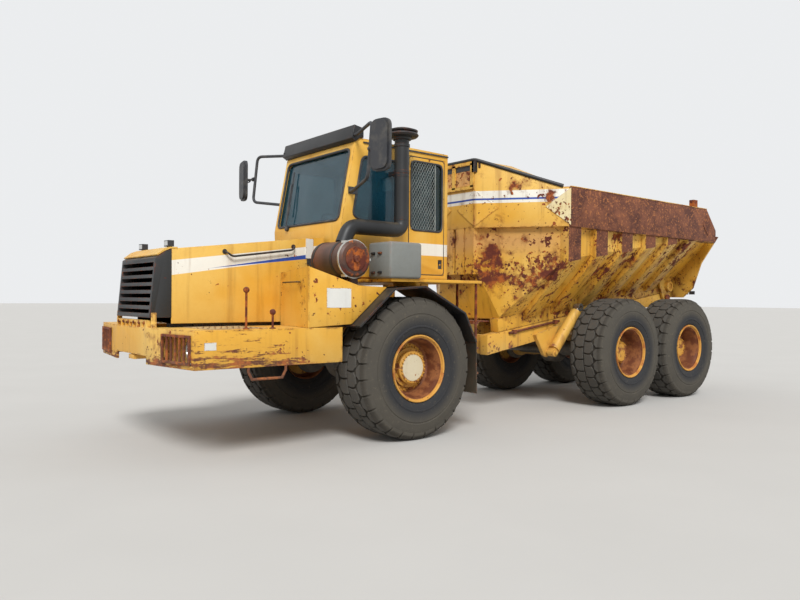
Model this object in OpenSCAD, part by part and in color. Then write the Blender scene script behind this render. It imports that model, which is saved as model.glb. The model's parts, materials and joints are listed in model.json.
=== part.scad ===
// Articulated six wheel dump truck, in millimetres.
// X points forward, Y to the driver's left and Z up. The origin is on the ground, under the
// middle of the overall length. Stations named x_ are measured forward from the front axle.

/* [Wheels and axles] */
// Front axle to middle axle
wheelbase = 4105; // [3950:1:4300]
// Middle axle to rear axle
tandem_pitch = 1666; // [1640:1:1750]
// Outer radius of a tyre, out to the lug tips
tyre_r = 790; // [770:1:800]
// Width of a tyre
tyre_w = 600; // [560:1:620]
// Centre of the tyre from the middle of the truck
wheel_y = 1150; // [1140:1:1170]
// Radius of the rim seat
rim_r = 330; // [320:1:340]
// Radius of the rim flange
flange_r = 372; // [360:1:385]
// Radius of an axle tube
axle_r = 120; // [100:1:130]
// Radius of a wheel spindle
spindle_r = 95; // [80:1:110]

/* [Front unit] */
// Front face of the bumper
bumper_x = 2650; // [2640:1:2680]
// Half width of the bumper's side boxes
deck_y = 1300; // [1280:1:1320]
// Top of the front deck
deck_z = 1260; // [1250:1:1270]
// Front corner where the bumper's face turns back
bumper_corner_x = 2530; // [2520:1:2540]
// Half width of the bumper's raised centre plate
plate_y = 434; // [430:1:440]
// Rear end of the bumper's side boxes
bumper_rear_x = 945; // [935:1:955]
// Underside of the bumper's skirt
skirt_z = 905; // [880:1:930]
// Half width of the bonnet
bonnet_y = 480; // [470:1:485]
// Bonnet height at the grille
bonnet_front_z = 2044; // [2030:1:2060]
// Bonnet height at the windscreen
bonnet_rear_z = 2253; // [2240:1:2265]
// Outer distance of the front unit's rails from the middle
rail_y = 400; // [390:1:410]
// Width of a front rail
rail_w = 110; // [90:1:120]
// Top of the front rails
rail_top = 1225; // [1215:1:1235]
// Height of the front rails
rail_h = 250; // [230:1:260]
// Radius of the tow pin's bore
tow_bore_r = 28; // [20:1:32]
// Thickness of the tow lug
tow_lug_t = 45; // [35:1:55]
// Half width of the tow lug
tow_lug_y = 80; // [60:1:90]

/* [Cab] */
// Half width of the cab
cab_y = 750; // [740:1:760]
// Rear wall of the cab, from the front axle
cab_rear_x = -1030; // [-1040:1:-1020]
// Underside of the cab
cab_z = 1800; // [1795:1:1810]
// Roof edge of the cab
roof_z = 3370; // [3350:1:3385]
// Thickness of the cab walls
cab_wall = 45; // [38:1:50]
// Thickness of a window pane
glass_t = 8; // [6:1:10]
// Height of the window sills
sill_z = 2390; // [2380:1:2410]
// Drop from the roof edge to the window heads
head_drop = 145; // [130:1:160]
// Foot of the windscreen
screen_x = 590; // [580:1:600]
// How far the windscreen leans back over its height
screen_back = 180; // [160:1:200]

/* [Articulation] */
// Centre of the steering hinge, from the front axle
hitch_x = -1450; // [-1460:1:-1440]
// Height of the oscillation axis
hitch_z = 930; // [920:1:940]
// Radius of the steering pin
hitch_pin_r = 60; // [50:1:70]
// Radius of the oscillation spindle
swivel_r = 130; // [120:1:140]

/* [Dump body] */
// Front face of the dump body, from the front axle
body_front_x = -1870; // [-1880:1:-1865]
// Station where the body reaches its full width
body_corner_x = -2660; // [-2680:1:-2640]
// Rear tip of the dump body
body_tail_x = -6750; // [-6760:1:-6740]
// Half width of the dump body
body_y = 1420; // [1410:1:1430]
// Half width of the flat front face
body_nose_y = 395; // [385:1:405]
// Half width of the floor, outside
floor_y = 620; // [610:1:640]
// Fall of the floor toward the front, millimetres of height per millimetre of length
floor_fall = 0.14; // [0.13:0.005:0.15]
// Height of the floor's underside at the front tip
floor_z = 1190; // [1180:1:1200]
// Top of the body's rim
rim_top_z = 3070; // [3060:1:3080]
// Height of the rim band
rim_band_h = 530; // [510:1:540]
// Peak height of the spill guard
guard_z = 3475; // [3465:1:3485]
// Thickness of the body plates
plate = 25; // [20:1:30]
// How far the ribs and the rim stand out from the panels
rib_d = 80; // [70:1:85]
// Distance from rib to rib
rib_pitch = 622; // [610:1:630]
// Length of each rib along the body
rib_w = 270; // [250:1:290]
// Number of ribs on each side
rib_count = 6; // [6:1:6]
// Tipping pivot, from the front axle
tip_x = -6380; // [-6390:1:-6370]
// Height of the tipping pivot
tip_z = 1600; // [1595:1:1610]
// Radius of the tipping pin
tip_pin_r = 45; // [40:1:50]

/* [Rear frame] */
// Outer distance of the rear rails from the middle
rear_rail_y = 600; // [595:1:605]
// Width of a rear rail
rear_rail_w = 140; // [135:1:145]
// Height of a rear rail
rear_rail_h = 250; // [240:1:260]
// Gap between the rear rails' top and the floor
rail_gap = 105; // [100:1:110]

/* [Cylinders] */
// Lower pin of the hoists, ahead of the middle axle
hoist_ahead = 975; // [970:1:980]
// Height of the hoists' lower pin
hoist_z = 790; // [785:1:795]
// Distance of the hoists from the middle
hoist_y = 752; // [748:1:754]
// Upper pin of the hoists, behind the lower pin
hoist_lean = 610; // [605:1:615]
// Upper pin of the hoists, above the floor's underside
hoist_top_up = 17.32; // [15:0.01:20]
// Outer radius of the hoist barrel
hoist_r = 82; // [78:1:84]
// Radius step from one hoist stage to the next
hoist_step = 12; // [11:1:12]
// Rear pin of a steering cylinder forward of its hinge
steer_base = 1150; // [1140:1:1160]
// Base pin of a steering cylinder from the middle
steer_base_y = 270; // [260:1:275]
// Rod pin of a steering cylinder behind the hinge
steer_rod = 250; // [245:1:255]
// Rod pin of a steering cylinder from the middle
steer_rod_y = 440; // [435:1:445]
// Outer radius of a steering cylinder
steer_r = 55; // [50:1:58]
// Height of the steering cylinders
steer_z = 880; // [875:1:885]
// Radius of a steering cylinder's pins
steer_pin_r = 25; // [20:1:28]

/* [Hinges] */
// Bonnet hinge, from the front axle
bonnet_hinge_x = 2600; // [2598:1:2602]
// Height of the bonnet hinge
bonnet_hinge_z = 1380; // [1378:1:1382]
// Front edge of the cab door
door_x = -390; // [-392:1:-388]
// Rear edge of the cab door
door_rear_x = -970; // [-972:1:-965]

/* [Hidden] */
$fn = 48;

clear = 5;          // running gap between pieces that move past each other
fit = 0.3;          // gap at a seat or a pin
paint = "#e8b01c";
pale_paint = "#e9bd45";
rust = "#6e3424";
black = "#1b1b1c";
rubber = "#2f2d2b";
grey = "#77797a";
steel = "#a9a9a6";
glass = "#8fb0bd";
front_axle_x = -(bumper_x + body_tail_x) / 2;
mid_x = -wheelbase;
rear_x = -wheelbase - tandem_pitch;
axle_z = tyre_r;
fall_deg = atan(floor_fall);
hoist_x = mid_x + hoist_ahead;
hoist_top_x = hoist_x - hoist_lean;
hoist_top_z = floor_at(hoist_top_x) + hoist_top_up;
head_z = roof_z - head_drop;
door_hinge_z = [cab_z + 260, head_z - 105];
brow_x = screen_x - screen_back;    // top of the windscreen
screen_rise = roof_z - 40 - sill_z; // height of the windscreen
screen_frame = 70;                  // width of its frame at the sides and the head

// Places a piece that is drawn in stations from the front axle
module truck() { translate([front_axle_x, 0, 0]) children(); }

// Draws a left hand piece on both sides
module both_sides() {
    for (side = [0, 1])
        mirror([0, side, 0]) children();
}

// Solid whose side view is the outline points, from y0 to y1
module side_solid(points, y0, y1) {
    translate([0, y1, 0]) rotate([90, 0, 0]) linear_extrude(y1 - y0) polygon(points);
}

// Solid whose plan is the outline points, from z0 to z1
module plan_solid(points, z0, z1) {
    translate([0, 0, z0]) linear_extrude(z1 - z0) polygon(points);
}

// Solid whose front view is the outline points, from x0 to x1
module cross_solid(points, x0, x1) {
    translate([x0, 0, 0]) rotate([90, 0, 90]) linear_extrude(x1 - x0) polygon(points);
}

// Box from one corner to the opposite one
module block(low, high) { translate(low) cube(high - low); }

// Round bar from p to q
module bar(p, q, r) {
    d = q - p;
    translate(p)
        rotate([0, acos(d[2] / norm(d)), atan2(d[1], d[0])])
            cylinder(r = r, h = norm(d));
}

// Round bars along a path, with a slightly larger ball at each bend
module bent_bar(path, r) {
    for (i = [0 : len(path) - 2])
        bar(path[i], path[i + 1], r);
    for (i = [1 : len(path) - 2])
        translate(path[i]) sphere(r = r * 1.06, $fn = 36);
}

// Shaft across the truck from y0 to y1
module cross_shaft(x, z, r, y0, y1) {
    translate([x, y1, z]) rotate([90, 0, 0]) cylinder(r = r, h = y1 - y0);
}

// Front unit

module front_frame() color(paint) truck() {
    ear = 170;
    ear_t = 50;
    ear_gap = 190;
    both_sides()
        side_solid([[cab_rear_x - 40, rail_top - rail_h], [bumper_x - 60, rail_top - rail_h],
            [bumper_x - 60, rail_top], [cab_rear_x - 40, rail_top]], rail_y - rail_w, rail_y);
    for (x = [cab_rear_x - 40, -560, 720, bumper_x - 160])
        block([x, -rail_y + rail_w, rail_top - rail_h], [x + 100, rail_y - rail_w, rail_top - 60]);
    // Rear bulkhead with the upper and lower hinge ears, open where the steering cylinders swing
    difference() {
        block([cab_rear_x - 60, -rail_y, hitch_z - ear_gap - ear_t], [cab_rear_x, rail_y, rail_top]);
        both_sides()
            block([cab_rear_x - 61, 180, steer_z - steer_r - 10], [cab_rear_x + 1, rail_y + 1, steer_z + steer_r + 10]);
    }
    for (z = [hitch_z - ear_gap - ear_t, hitch_z + ear_gap])
        linear_ear(z, ear_t, ear);
    translate([hitch_x, 0, hitch_z - ear_gap - ear_t])
        cylinder(r = hitch_pin_r, h = 2 * (ear_gap + ear_t));
    // Seats of the front axle under the rails
    both_sides() difference() {
        block([-110, rail_y - rail_w, axle_z + 20], [110, rail_y, rail_top - rail_h]);
        cross_shaft(0, axle_z, axle_r + fit, 0, rail_y + 1);
    }
    both_sides() steer_base_bracket();
    // Tow lug that hangs under the rails, behind the bumper's centre plate
    lug_top = rail_top - rail_h;
    difference() {
        block([bumper_x - 260, -tow_lug_y, lug_top - tow_lug_t], [bumper_x - 8, tow_lug_y, lug_top]);
        translate([bumper_x - 8 - tow_lug_y, 0, lug_top - tow_lug_t - 1])
            cylinder(r = tow_bore_r, h = tow_lug_t + 2);
    }
    block([bumper_x - 260, -rail_y, lug_top - tow_lug_t], [bumper_x - 180, rail_y, lug_top + 5]);
}

// Plates, web and pin that hold the base of a steering cylinder
module steer_base_bracket() {
    x = hitch_x + steer_base;
    for (z = [steer_z - 60, steer_z + 40])
        translate([0, 0, z]) linear_extrude(20) {
            translate([x, steer_base_y]) circle(r = 60);
            translate([x - 60, steer_base_y]) square([120, rail_y - 10 - steer_base_y]);
        }
    block([x - 60, rail_y - 40, steer_z - 60], [x + 60, rail_y - 10, rail_top - rail_h]);
    translate([x, steer_base_y, steer_z - 60]) cylinder(r = steer_pin_r, h = 120);
}

// One hinge ear of the front frame, from the bulkhead out round the steering pin
module linear_ear(z, t, r) {
    translate([0, 0, z]) linear_extrude(t) {
        translate([hitch_x, 0]) circle(r = r);
        polygon([[hitch_x, -r], [cab_rear_x - 30, -rail_y + 40],
            [cab_rear_x - 30, rail_y - 40], [hitch_x, r]]);
    }
}

module axle(x, hub_y, input) {
    cross_shaft(x, axle_z, axle_r, -hub_y, hub_y);
    cross_shaft(x, axle_z, spindle_r, -wheel_y - 60, wheel_y + 60);
    // Differential housing
    translate([x, 0, axle_z]) rotate([90, 0, 0])
        rotate_extrude() polygon([[0, -190], [150, -190], [235, -100], [235, 100], [150, 190], [0, 190]]);
    translate([x, 0, axle_z]) rotate([0, 90 * input, 0]) cylinder(r1 = 190, r2 = 90, h = 330);
    // Brake housings by the wheels
    both_sides() cross_shaft(x, axle_z, 230, hub_y - 60, hub_y);
}

module front_axle() color(grey) truck() axle(0, wheel_y - tyre_w / 2 - 30, -1);

module rear_axles() color(grey) truck()
    for (x = [mid_x, rear_x])
        axle(x, wheel_y - tyre_w / 2 - 30, 1);

// Plan of the bumper and its side boxes, inset by the amount in
function bumper_plan(in, y_in) = [
    [bumper_rear_x + in, y_in], [bumper_rear_x + in, deck_y - in], [bumper_corner_x - in, deck_y - in],
    [bumper_x - in, plate_y], [bumper_x - in, -plate_y], [bumper_corner_x - in, -deck_y + in],
    [bumper_rear_x + in, -deck_y + in], [bumper_rear_x + in, -y_in], [bumper_x - 210 + in, -y_in],
    [bumper_x - 210 + in, y_in]
];

module bumper() color(paint) truck() {
    wall = 25;
    deck_in = bonnet_y + 30;
    difference() {
        plan_solid(bumper_plan(0, deck_in), skirt_z, deck_z);
        plan_solid(bumper_plan(wall, deck_in + wall), skirt_z - 10, deck_z - 12);
        // Lamp openings in the skirt
        both_sides()
            block([bumper_corner_x - 50, deck_y - 560, skirt_z + 50], [bumper_x + 50, deck_y - 60, deck_z - 55]);
        // Open below the centre plate
        block([bumper_x - 150, -plate_y, skirt_z - 10], [bumper_x + 10, plate_y, skirt_z + 80]);
        // Room for the frame's front end
        block([bumper_x - 250, -rail_y - fit, skirt_z - 10], [bumper_x - 60, rail_y + fit, rail_top + fit]);
    }
    // Raised centre plate with its slotted step face
    difference() {
        block([bumper_x - 60, -plate_y, deck_z - 200], [bumper_x, plate_y, bonnet_hinge_z - 50]);
        for (i = [0 : 6]) for (z = [deck_z - 160, deck_z - 25])
            block([bumper_x - 30, -plate_y + 44 + i * 115, z], [bumper_x + 10, -plate_y + 129 + i * 115, z + 70]);
    }
    // Lugs and pins of the bonnet hinge
    both_sides() {
        block([bonnet_hinge_x - 25, bonnet_y + 12, deck_z - 5], [bonnet_hinge_x + 25, bonnet_y + 28, bonnet_hinge_z + 25]);
        cross_shaft(bonnet_hinge_x, bonnet_hinge_z, 12, bonnet_y - 25, bonnet_y + 20);
    }
    // Brackets from the frame rails to the skirt
    both_sides()
        block([bumper_x - 270, rail_y + fit, rail_top - rail_h], [bumper_x - 190, deck_in + 40, rail_top - 30]);
}

module lamp_guards() color(rust) truck() both_sides() {
    // Slatted guard in the lamp opening
    slope = atan2(bumper_x - bumper_corner_x, deck_y - plate_y);
    low = skirt_z + 40;
    high = deck_z - 45;
    translate([bumper_corner_x + fit, deck_y, 0]) rotate([0, 0, slope]) translate([0, -560, 0]) {
        difference() {
            block([0, 0, low], [22, 500, high]);
            block([-5, 25, low + 25], [30, 475, high - 25]);
        }
        for (i = [1 : 5])
            block([0, 25 + i * 75 - 8, low + 25], [22, 25 + i * 75 + 8, high - 25]);
    }
}

module headlamps() color("#d8d8d2") truck() both_sides() {
    lamp_z = (skirt_z + deck_z) / 2;
    translate([bumper_corner_x - 55, deck_y - 150, lamp_z]) rotate([0, 90, 0])
        rotate_extrude() polygon([[0, -60], [45, -60], [85, 0], [92, 0], [92, 22], [60, 30], [0, 32]]);
    block([bumper_corner_x - 150, deck_y - 170, lamp_z - 10], [bumper_corner_x - 105, deck_y - 130, deck_z - 12]);
}

module engine() color(grey) truck()
    block([860, -rail_y + 30, rail_top], [2140, rail_y - 30, 1880]);

// Side boxes beside the bonnet, and the panels over the front wheels
module fender_boxes() color(paint) truck() both_sides() difference() {
    intersection() {
        side_solid([[826, 1289], [1355, deck_z + 0.3], [1355, 1873], [736, 1692],
            [365, 1680]], bonnet_y + 25, deck_y);
        plan_solid([[365, bonnet_y + 25], [1210, bonnet_y + 25], [1355, deck_y], [365, deck_y]],
            1200, 1900);
    }
    side_solid([[930, 1200], [1335, 1200], [1335, 1848], [740, 1672], [480, 1664]],
        bonnet_y + 50, deck_y - 20);
}

module fender_flares() color(black) truck() both_sides() {
    outer = [[835, 1275], [375, 1668], [-70, 1700], [-680, 1400], [-870, 1050]];
    inner = [[-846, 1050], [-662, 1384], [-62, 1678], [366, 1646], [820, 1258]];
    side_solid(concat(outer, inner), 860, deck_y + 150);
    side_solid([[-868, 1090], [-880, 450], [-866, 450], [-855, 1090]], 870, deck_y + 140);
}

// Platform under the cab and over the wheels
module cab_base() color(paint) truck() {
    block([cab_rear_x, -deck_y - 60, 1740], [355, deck_y + 60, 1775]);
    both_sides() {
        block([cab_rear_x, rail_y - rail_w, rail_top], [-900, rail_y, 1740]);
        block([220, rail_y - rail_w, rail_top], [340, rail_y, 1740]);
        block([cab_rear_x + 20, cab_y - 90, 1775], [300, cab_y - 20, cab_z]);
        // Hangers of the wheel arch
        block([-100, 900, 1700 + fit], [-40, deck_y, 1745]);
    }
}

module steps() color(rust) truck() {
    // Loop step under each front side box
    both_sides() bent_bar([[1998, deck_y - 14, skirt_z - fit], [1998, deck_y - 14, 860], [1960, deck_y - 14, 790],
        [1640, deck_y - 14, 790], [1600, deck_y - 14, 860], [1600, deck_y - 14, skirt_z - fit]], 13);
    // Ladder behind each front wheel
    both_sides() {
        for (y = [1010, 1330])
            bent_bar([[-960, y, 1740 - fit], [-960, y, 640]], 16);
        for (z = [660, 960, 1260])
            block([-1010, 1010, z], [-910, 1330, z + 24]);
    }
}

// Cab

// Side view of the cab, inset by the amount in
function cab_side(in) = [
    [cab_rear_x + in, cab_z + in], [screen_x - 30 - in, cab_z + in], [screen_x - in, sill_z],
    [brow_x - in, roof_z - 40 - in], [brow_x - 70 - in, roof_z - in + 15], [cab_rear_x + in, roof_z - in]
];

// Station of the windscreen's outer face at the height z
function screen_at(z) = screen_x - screen_back * (z - sill_z) / screen_rise;

module cab_shell() color(paint) truck() {
    for (z = door_hinge_z)
        translate([door_x + 12, cab_y + 14, z]) door_hinge_fixed();
    difference() {
        side_solid(cab_side(0), -cab_y, cab_y);
        side_solid(cab_side(cab_wall), -cab_y + cab_wall, cab_y - cab_wall);
        on_screen() screen_pane(0, [-100, 20]);
        // Front side windows
        both_sides() side_solid(side_window(0), cab_y - cab_wall - 10, cab_y + 10);
        // Rear side window on the right
        block([door_rear_x + 20, -cab_y - 10, sill_z], [door_x - 5, -cab_y + cab_wall + 10, head_z]);
        // Doorway on the left
        block([door_rear_x - clear, cab_y - cab_wall - 10, cab_z + 45],
            [door_x + clear, cab_y + 10, head_z + 55 + clear]);
        // Rear window
        block([cab_rear_x - 10, -600, sill_z + 60], [cab_rear_x + cab_wall + 10, 600, head_z]);
    }
}

// The cab's half of a door hinge: a pin between two knuckles
module door_hinge_fixed() {
    cylinder(r = 6, h = 80, center = true);
    for (dz = [-40, 22])
        translate([0, 0, dz]) {
            cylinder(r = 10, h = 18);
            translate([0, -14, 0]) cube([24, 18, 18]);
        }
}

// Outline of the front side window, inset by the amount in
function side_window(in) = [
    [door_x + 60 + in, sill_z + 60 + in], [screen_at(sill_z + 110) - 240 - in, sill_z + 60 + in],
    [screen_at(sill_z + 110) - 134 - in * 1.2, sill_z + 110 + in],
    [screen_at(head_z - 40) - 133 - in * 1.2, head_z - 40 - in], [door_x + 60 + in, head_z - 40 - in]
];

// Places what is drawn on the windscreen: height from its foot, X out of its face
module on_screen() {
    translate([screen_x, 0, sill_z]) rotate([0, -atan2(screen_back, screen_rise), 0]) children();
}

// The windscreen's pane, inset by the amount in, between two depths
module screen_pane(in, depth) {
    block([depth[0], -cab_y + screen_frame + in, 50 + in],
        [depth[1], cab_y - screen_frame - in, norm([screen_back, screen_rise]) - screen_frame - in]);
}

module cab_glass() color(glass, 0.5) truck() {
    on_screen() screen_pane(fit, [-30, -30 + glass_t]);
    both_sides() side_solid(side_window(fit), cab_y - 25, cab_y - 25 + glass_t);
    block([door_rear_x + 20 + fit, -cab_y + 17, sill_z + fit], [door_x - 5 - fit, -cab_y + 17 + glass_t, head_z - fit]);
    block([cab_rear_x + 20, -600 + fit, sill_z + 60 + fit], [cab_rear_x + 20 + glass_t, 600 - fit, head_z - fit]);
}

module visor() color(black) truck()
    side_solid([[brow_x + 20, roof_z - 25], [brow_x + 60, roof_z - 5], [brow_x + 20, roof_z + 153],
        [brow_x - 110, roof_z + 130], [brow_x - 110, roof_z + 15.5], [brow_x - 68, roof_z + 15.5],
        [brow_x + 2, roof_z - 38]], -cab_y - 20, cab_y + 20);

module seat() color("#3a3c40") truck() {
    block([-520, -230, cab_z + cab_wall], [-120, 230, cab_z + cab_wall + 330]);
    block([-580, -250, cab_z + cab_wall + 330], [-60, 250, cab_z + cab_wall + 450]);
    side_solid([[-600, cab_z + 495.3], [-470, cab_z + 495.3], [-560, cab_z + 1150], [-660, cab_z + 1150]], -240, 240);
}

module steering_console() color(black) truck() {
    block([screen_x - 260, -560, cab_z + cab_wall], [screen_x - 85, 560, sill_z + 20]);
    translate([screen_x - 290, 0, sill_z - 180]) rotate([0, -35, 0]) {
        cylinder(r = 45, h = 300);
        translate([0, 0, 300]) rotate_extrude() translate([215, 0]) circle(r = 16);
        for (a = [90, 210, 330])
            rotate([0, 0, a]) translate([0, -14, 292]) cube([215, 28, 14]);
    }
}

module cab_door() color(paint) truck() {
    handle_x = door_rear_x + 60;
    difference() {
        block([door_rear_x, cab_y - 40, cab_z + 45 + clear], [door_x, cab_y, head_z + 55]);
        block([door_rear_x + 35, cab_y - 50, sill_z], [door_x - 35, cab_y + 10, head_z]);
        block([handle_x - 35, cab_y - 18, cab_z + 130], [handle_x + 35, cab_y + 10, cab_z + 240]);
    }
    cross_shaft(handle_x, cab_z + 185, 12, cab_y - 30, cab_y - 4);
    // Moving knuckles of the hinges
    for (z = door_hinge_z)
        translate([door_x + 12, cab_y + 14, z]) difference() {
            union() {
                cylinder(r = 10, h = 43, center = true);
                translate([-32, -14, -21.5]) cube([26, 10, 43]);
            }
            cylinder(r = 6 + fit, h = 50, center = true);
        }
}

module door_glass() color(glass, 0.5) truck()
    block([door_rear_x + 35 + fit, cab_y - 24, sill_z + fit],
        [door_x - 35 - fit, cab_y - 24 + glass_t, head_z - fit]);

// Beside the cab

module air_cleaner() color(rust) truck() {
    translate([785, deck_y, 1968]) rotate([90, 0, 0])
        rotate_extrude() polygon([[0, 0], [170, 0], [195, 20], [195, 560], [130, 600], [0, 600]]);
    for (y = [760, 1100])
        block([640, y, 1692 + fit], [735, y + 40, 1860]);
}

module intake_stack() color(black) truck() {
    stack = [-114, 950];
    duct = [-sin(23.6), 0, cos(23.6)];
    cleaner = [785, stack[1], 1968];
    bent_bar([cleaner + duct * (195 + fit), cleaner + duct * (2345 - 1968) / duct[2],
        [stack[0], stack[1], 2345], [stack[0], stack[1], roof_z + 30]], 85);
    translate([stack[0], stack[1], roof_z + 20])
        rotate_extrude() polygon([[0, 0], [120, 0], [195, 45], [195, 95], [120, 130], [0, 130]]);
    block([-150, cab_y + fit, roof_z - 370], [-80, 880, roof_z - 330]);
}

module battery_box() color(grey) truck()
    block([-45, 1000, 1775], [400, 1400, 2170]);

module mirrors() color(black) truck() both_sides() {
    arm_z = roof_z + 70;
    foot_z = roof_z - 610;
    foot_x = screen_at(foot_z) - 39;
    head = [brow_x + 230, cab_y + 770, roof_z - 230];
    bent_bar([[brow_x + 20, cab_y + 20 + fit, arm_z], [brow_x + 20, cab_y + 70, arm_z],
        [brow_x + 150, head[1] - 250, arm_z + 40], [brow_x + 210, head[1] - 240, foot_z + 70],
        [foot_x, cab_y + 60, foot_z], [foot_x, cab_y + fit, foot_z]], 17);
    bar(head - [40, 245, 0], head - [0, 20, 0], 14);
    translate(head) rotate([0, 0, 12])
        block([-25, -130, -270], [25, 130, 270]);
}

// Bonnet, tilting forward with its grille

// Side view of the bonnet, inset by the amount in
function bonnet_side(in) = [
    [640, 1295], [2420 - fit, 1295], [2420 - fit, bonnet_front_z - 8 - in], [2350, bonnet_front_z - in],
    [640, bonnet_rear_z - in]
];

module bonnet() color(paint) truck() difference() {
    side_solid(bonnet_side(0), -bonnet_y, bonnet_y);
    side_solid([[600, 1200], [2430, 1200], [2430, bonnet_front_z - 20],
        [2350, bonnet_front_z - 14], [600, bonnet_rear_z - 10]], -bonnet_y + 12, bonnet_y - 12);
}

module grille() color(black) truck() difference() {
    side_solid([[2420, 1356], [2634, 1356], [2580, 1940], [2480, 2010], [2420, 2030]],
        -bonnet_y - 3, bonnet_y + 3);
    cross_shaft(bonnet_hinge_x, bonnet_hinge_z, 12 + fit, -bonnet_y - 4, -bonnet_y + 30);
    cross_shaft(bonnet_hinge_x, bonnet_hinge_z, 12 + fit, bonnet_y - 30, bonnet_y + 4);
    side_solid([[2400, 1300], [2560, 1300], [2530, 1930], [2400, 1990]], -bonnet_y + 40, bonnet_y - 40);
    // Slots between the louvres, each under the lip of the louvre above
    for (i = [0 : 6])
        side_solid([[2500, 1398 + i * 76], [2700, 1398 + i * 76], [2700, 1426 + i * 76], [2500, 1452 + i * 76]],
            -bonnet_y + 35, bonnet_y - 35);
}

// Articulation between the two units

module hitch_yoke() color(grey) truck() {
    half = 185;
    difference() {
        union() {
            translate([hitch_x, 0, hitch_z - half]) cylinder(r = 150, h = 2 * half);
            block([hitch_x - 260, -150, hitch_z - half], [hitch_x, 150, hitch_z + half]);
            both_sides() steer_lug();
        }
        translate([hitch_x, 0, hitch_z - half - 1]) cylinder(r = hitch_pin_r + fit, h = 2 * half + 2);
    }
    // Oscillation spindle
    translate([hitch_x - 260, 0, hitch_z]) rotate([0, -90, 0]) cylinder(r = swivel_r, h = 420);
}

// Lug for the rod of a steering cylinder, below the rod's eye
module steer_lug() {
    translate([0, 0, steer_z - 40 - clear - 25]) linear_extrude(25) difference() {
        union() {
            translate([hitch_x - steer_rod, steer_rod_y]) circle(r = 65);
            polygon([[hitch_x - 260, 0], [hitch_x - steer_rod + 60, 0],
                [hitch_x - steer_rod + 60, steer_rod_y], [hitch_x - steer_rod - 60, steer_rod_y],
                [hitch_x - steer_rod - 60, swivel_r + 100], [hitch_x - 260, swivel_r + 70]]);
        }
        translate([hitch_x - steer_rod, steer_rod_y]) circle(r = 25);
    }
}

steer_len = norm([steer_base + steer_rod, steer_rod_y - steer_base_y]);
steer_deg = atan2(steer_rod_y - steer_base_y, -steer_base - steer_rod);

// Places a steering cylinder's pieces: base pin at the origin, rod toward +X
module steer_place(side) {
    translate([hitch_x + steer_base, side * steer_base_y, steer_z])
        rotate([0, 0, side * steer_deg]) children();
}

module steer_barrel(side) color(paint) truck() steer_place(side) difference() {
    union() {
        cylinder(r = 45, h = 70, center = true);
        block([0, -35, -35], [90, 35, 35]);
        translate([80, 0, 0]) rotate([0, 90, 0]) cylinder(r = steer_r, h = 820);
    }
    translate([110, 0, 0]) rotate([0, 90, 0]) cylinder(r = 35 + fit, h = 900);
    translate([0, 0, -36]) cylinder(r = steer_pin_r + fit, h = 72);
}

module steer_rod_piece(side) color(steel) truck() steer_place(side) {
    translate([steer_len - 910, 0, 0]) rotate([0, 90, 0]) cylinder(r = 35, h = 870);
    translate([steer_len, 0, 0]) difference() {
        cylinder(r = 50, h = 80, center = true);
        cylinder(r = 25 + fit, h = 90, center = true);
    }
}

// Rear unit

// Places a solid drawn along the floor's slope: height 0 is the floor's underside
module along_floor() {
    translate([body_front_x - 208, 0, floor_z]) rotate([0, fall_deg, 0]) children();
}

function floor_at(x) = floor_z - floor_fall * (x - body_front_x + 208);

module rear_frame() color(paint) truck() {
    top = function(x) floor_at(x) - rail_gap;
    front = hitch_x - 480;
    both_sides()
        side_solid([[front, top(front) - rear_rail_h - 20], [hoist_x - 200, top(hoist_x - 200) - rear_rail_h],
            [tip_x + 60, tip_z - 90], [tip_x + 60, top(tip_x + 60)], [front, top(front)]],
            rear_rail_y - rear_rail_w, rear_rail_y);
    // Rounded rail ends round the tipping pivot
    both_sides() difference() {
        union() {
            cross_shaft(tip_x, tip_z, 90, rear_rail_y - rear_rail_w, rear_rail_y);
            block([tip_x, rear_rail_y - rear_rail_w, tip_z - 90], [tip_x + 70, rear_rail_y, tip_z + 60]);
        }
        cross_shaft(tip_x, tip_z, tip_pin_r, rear_rail_y - rear_rail_w - 1, rear_rail_y + 1);
    }
    cross_shaft(tip_x, tip_z, tip_pin_r, -rear_rail_y - 75, rear_rail_y + 75);
    // Cross members
    for (x = [-3000, -4900, -6200])
        block([x - 90, -rear_rail_y + rear_rail_w, top(x) - rear_rail_h + 30],
            [x + 30, rear_rail_y - rear_rail_w, top(x) - 30]);
    // Front tube round the oscillation spindle
    difference() {
        union() {
            translate([hitch_x - 280, 0, hitch_z]) rotate([0, -90, 0]) cylinder(r = 180, h = 420);
            block([front - 190, -rear_rail_y + rear_rail_w, hitch_z - 130], [front - 60, rear_rail_y - rear_rail_w, hitch_z + 130]);
        }
        translate([hitch_x - 279, 0, hitch_z]) rotate([0, -90, 0]) cylinder(r = swivel_r + fit, h = 404);
    }
    // Brackets that hang below the rails and carry the hoists
    both_sides() {
        side_solid([[hoist_x + 260, top(hoist_x) - rear_rail_h + 60], [hoist_x + 70, hoist_z - 40],
            [hoist_x, hoist_z - 75], [hoist_x - 75, hoist_z - 20], [hoist_x - 260, top(hoist_x) - 60]],
            rear_rail_y, hoist_y - hoist_r - 12);
        cross_shaft(hoist_x, hoist_z, 30, rear_rail_y, hoist_y + hoist_r);
    }
    // Trunnions of the bogie beams
    both_sides() {
        block([mid_x - tandem_pitch / 2 - 130, rear_rail_y - rear_rail_w, axle_z - 130],
            [mid_x - tandem_pitch / 2 + 130, rear_rail_y, top(mid_x - tandem_pitch / 2) - 100]);
        cross_shaft(mid_x - tandem_pitch / 2, axle_z, 85, rear_rail_y, 655);
    }
}

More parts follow.
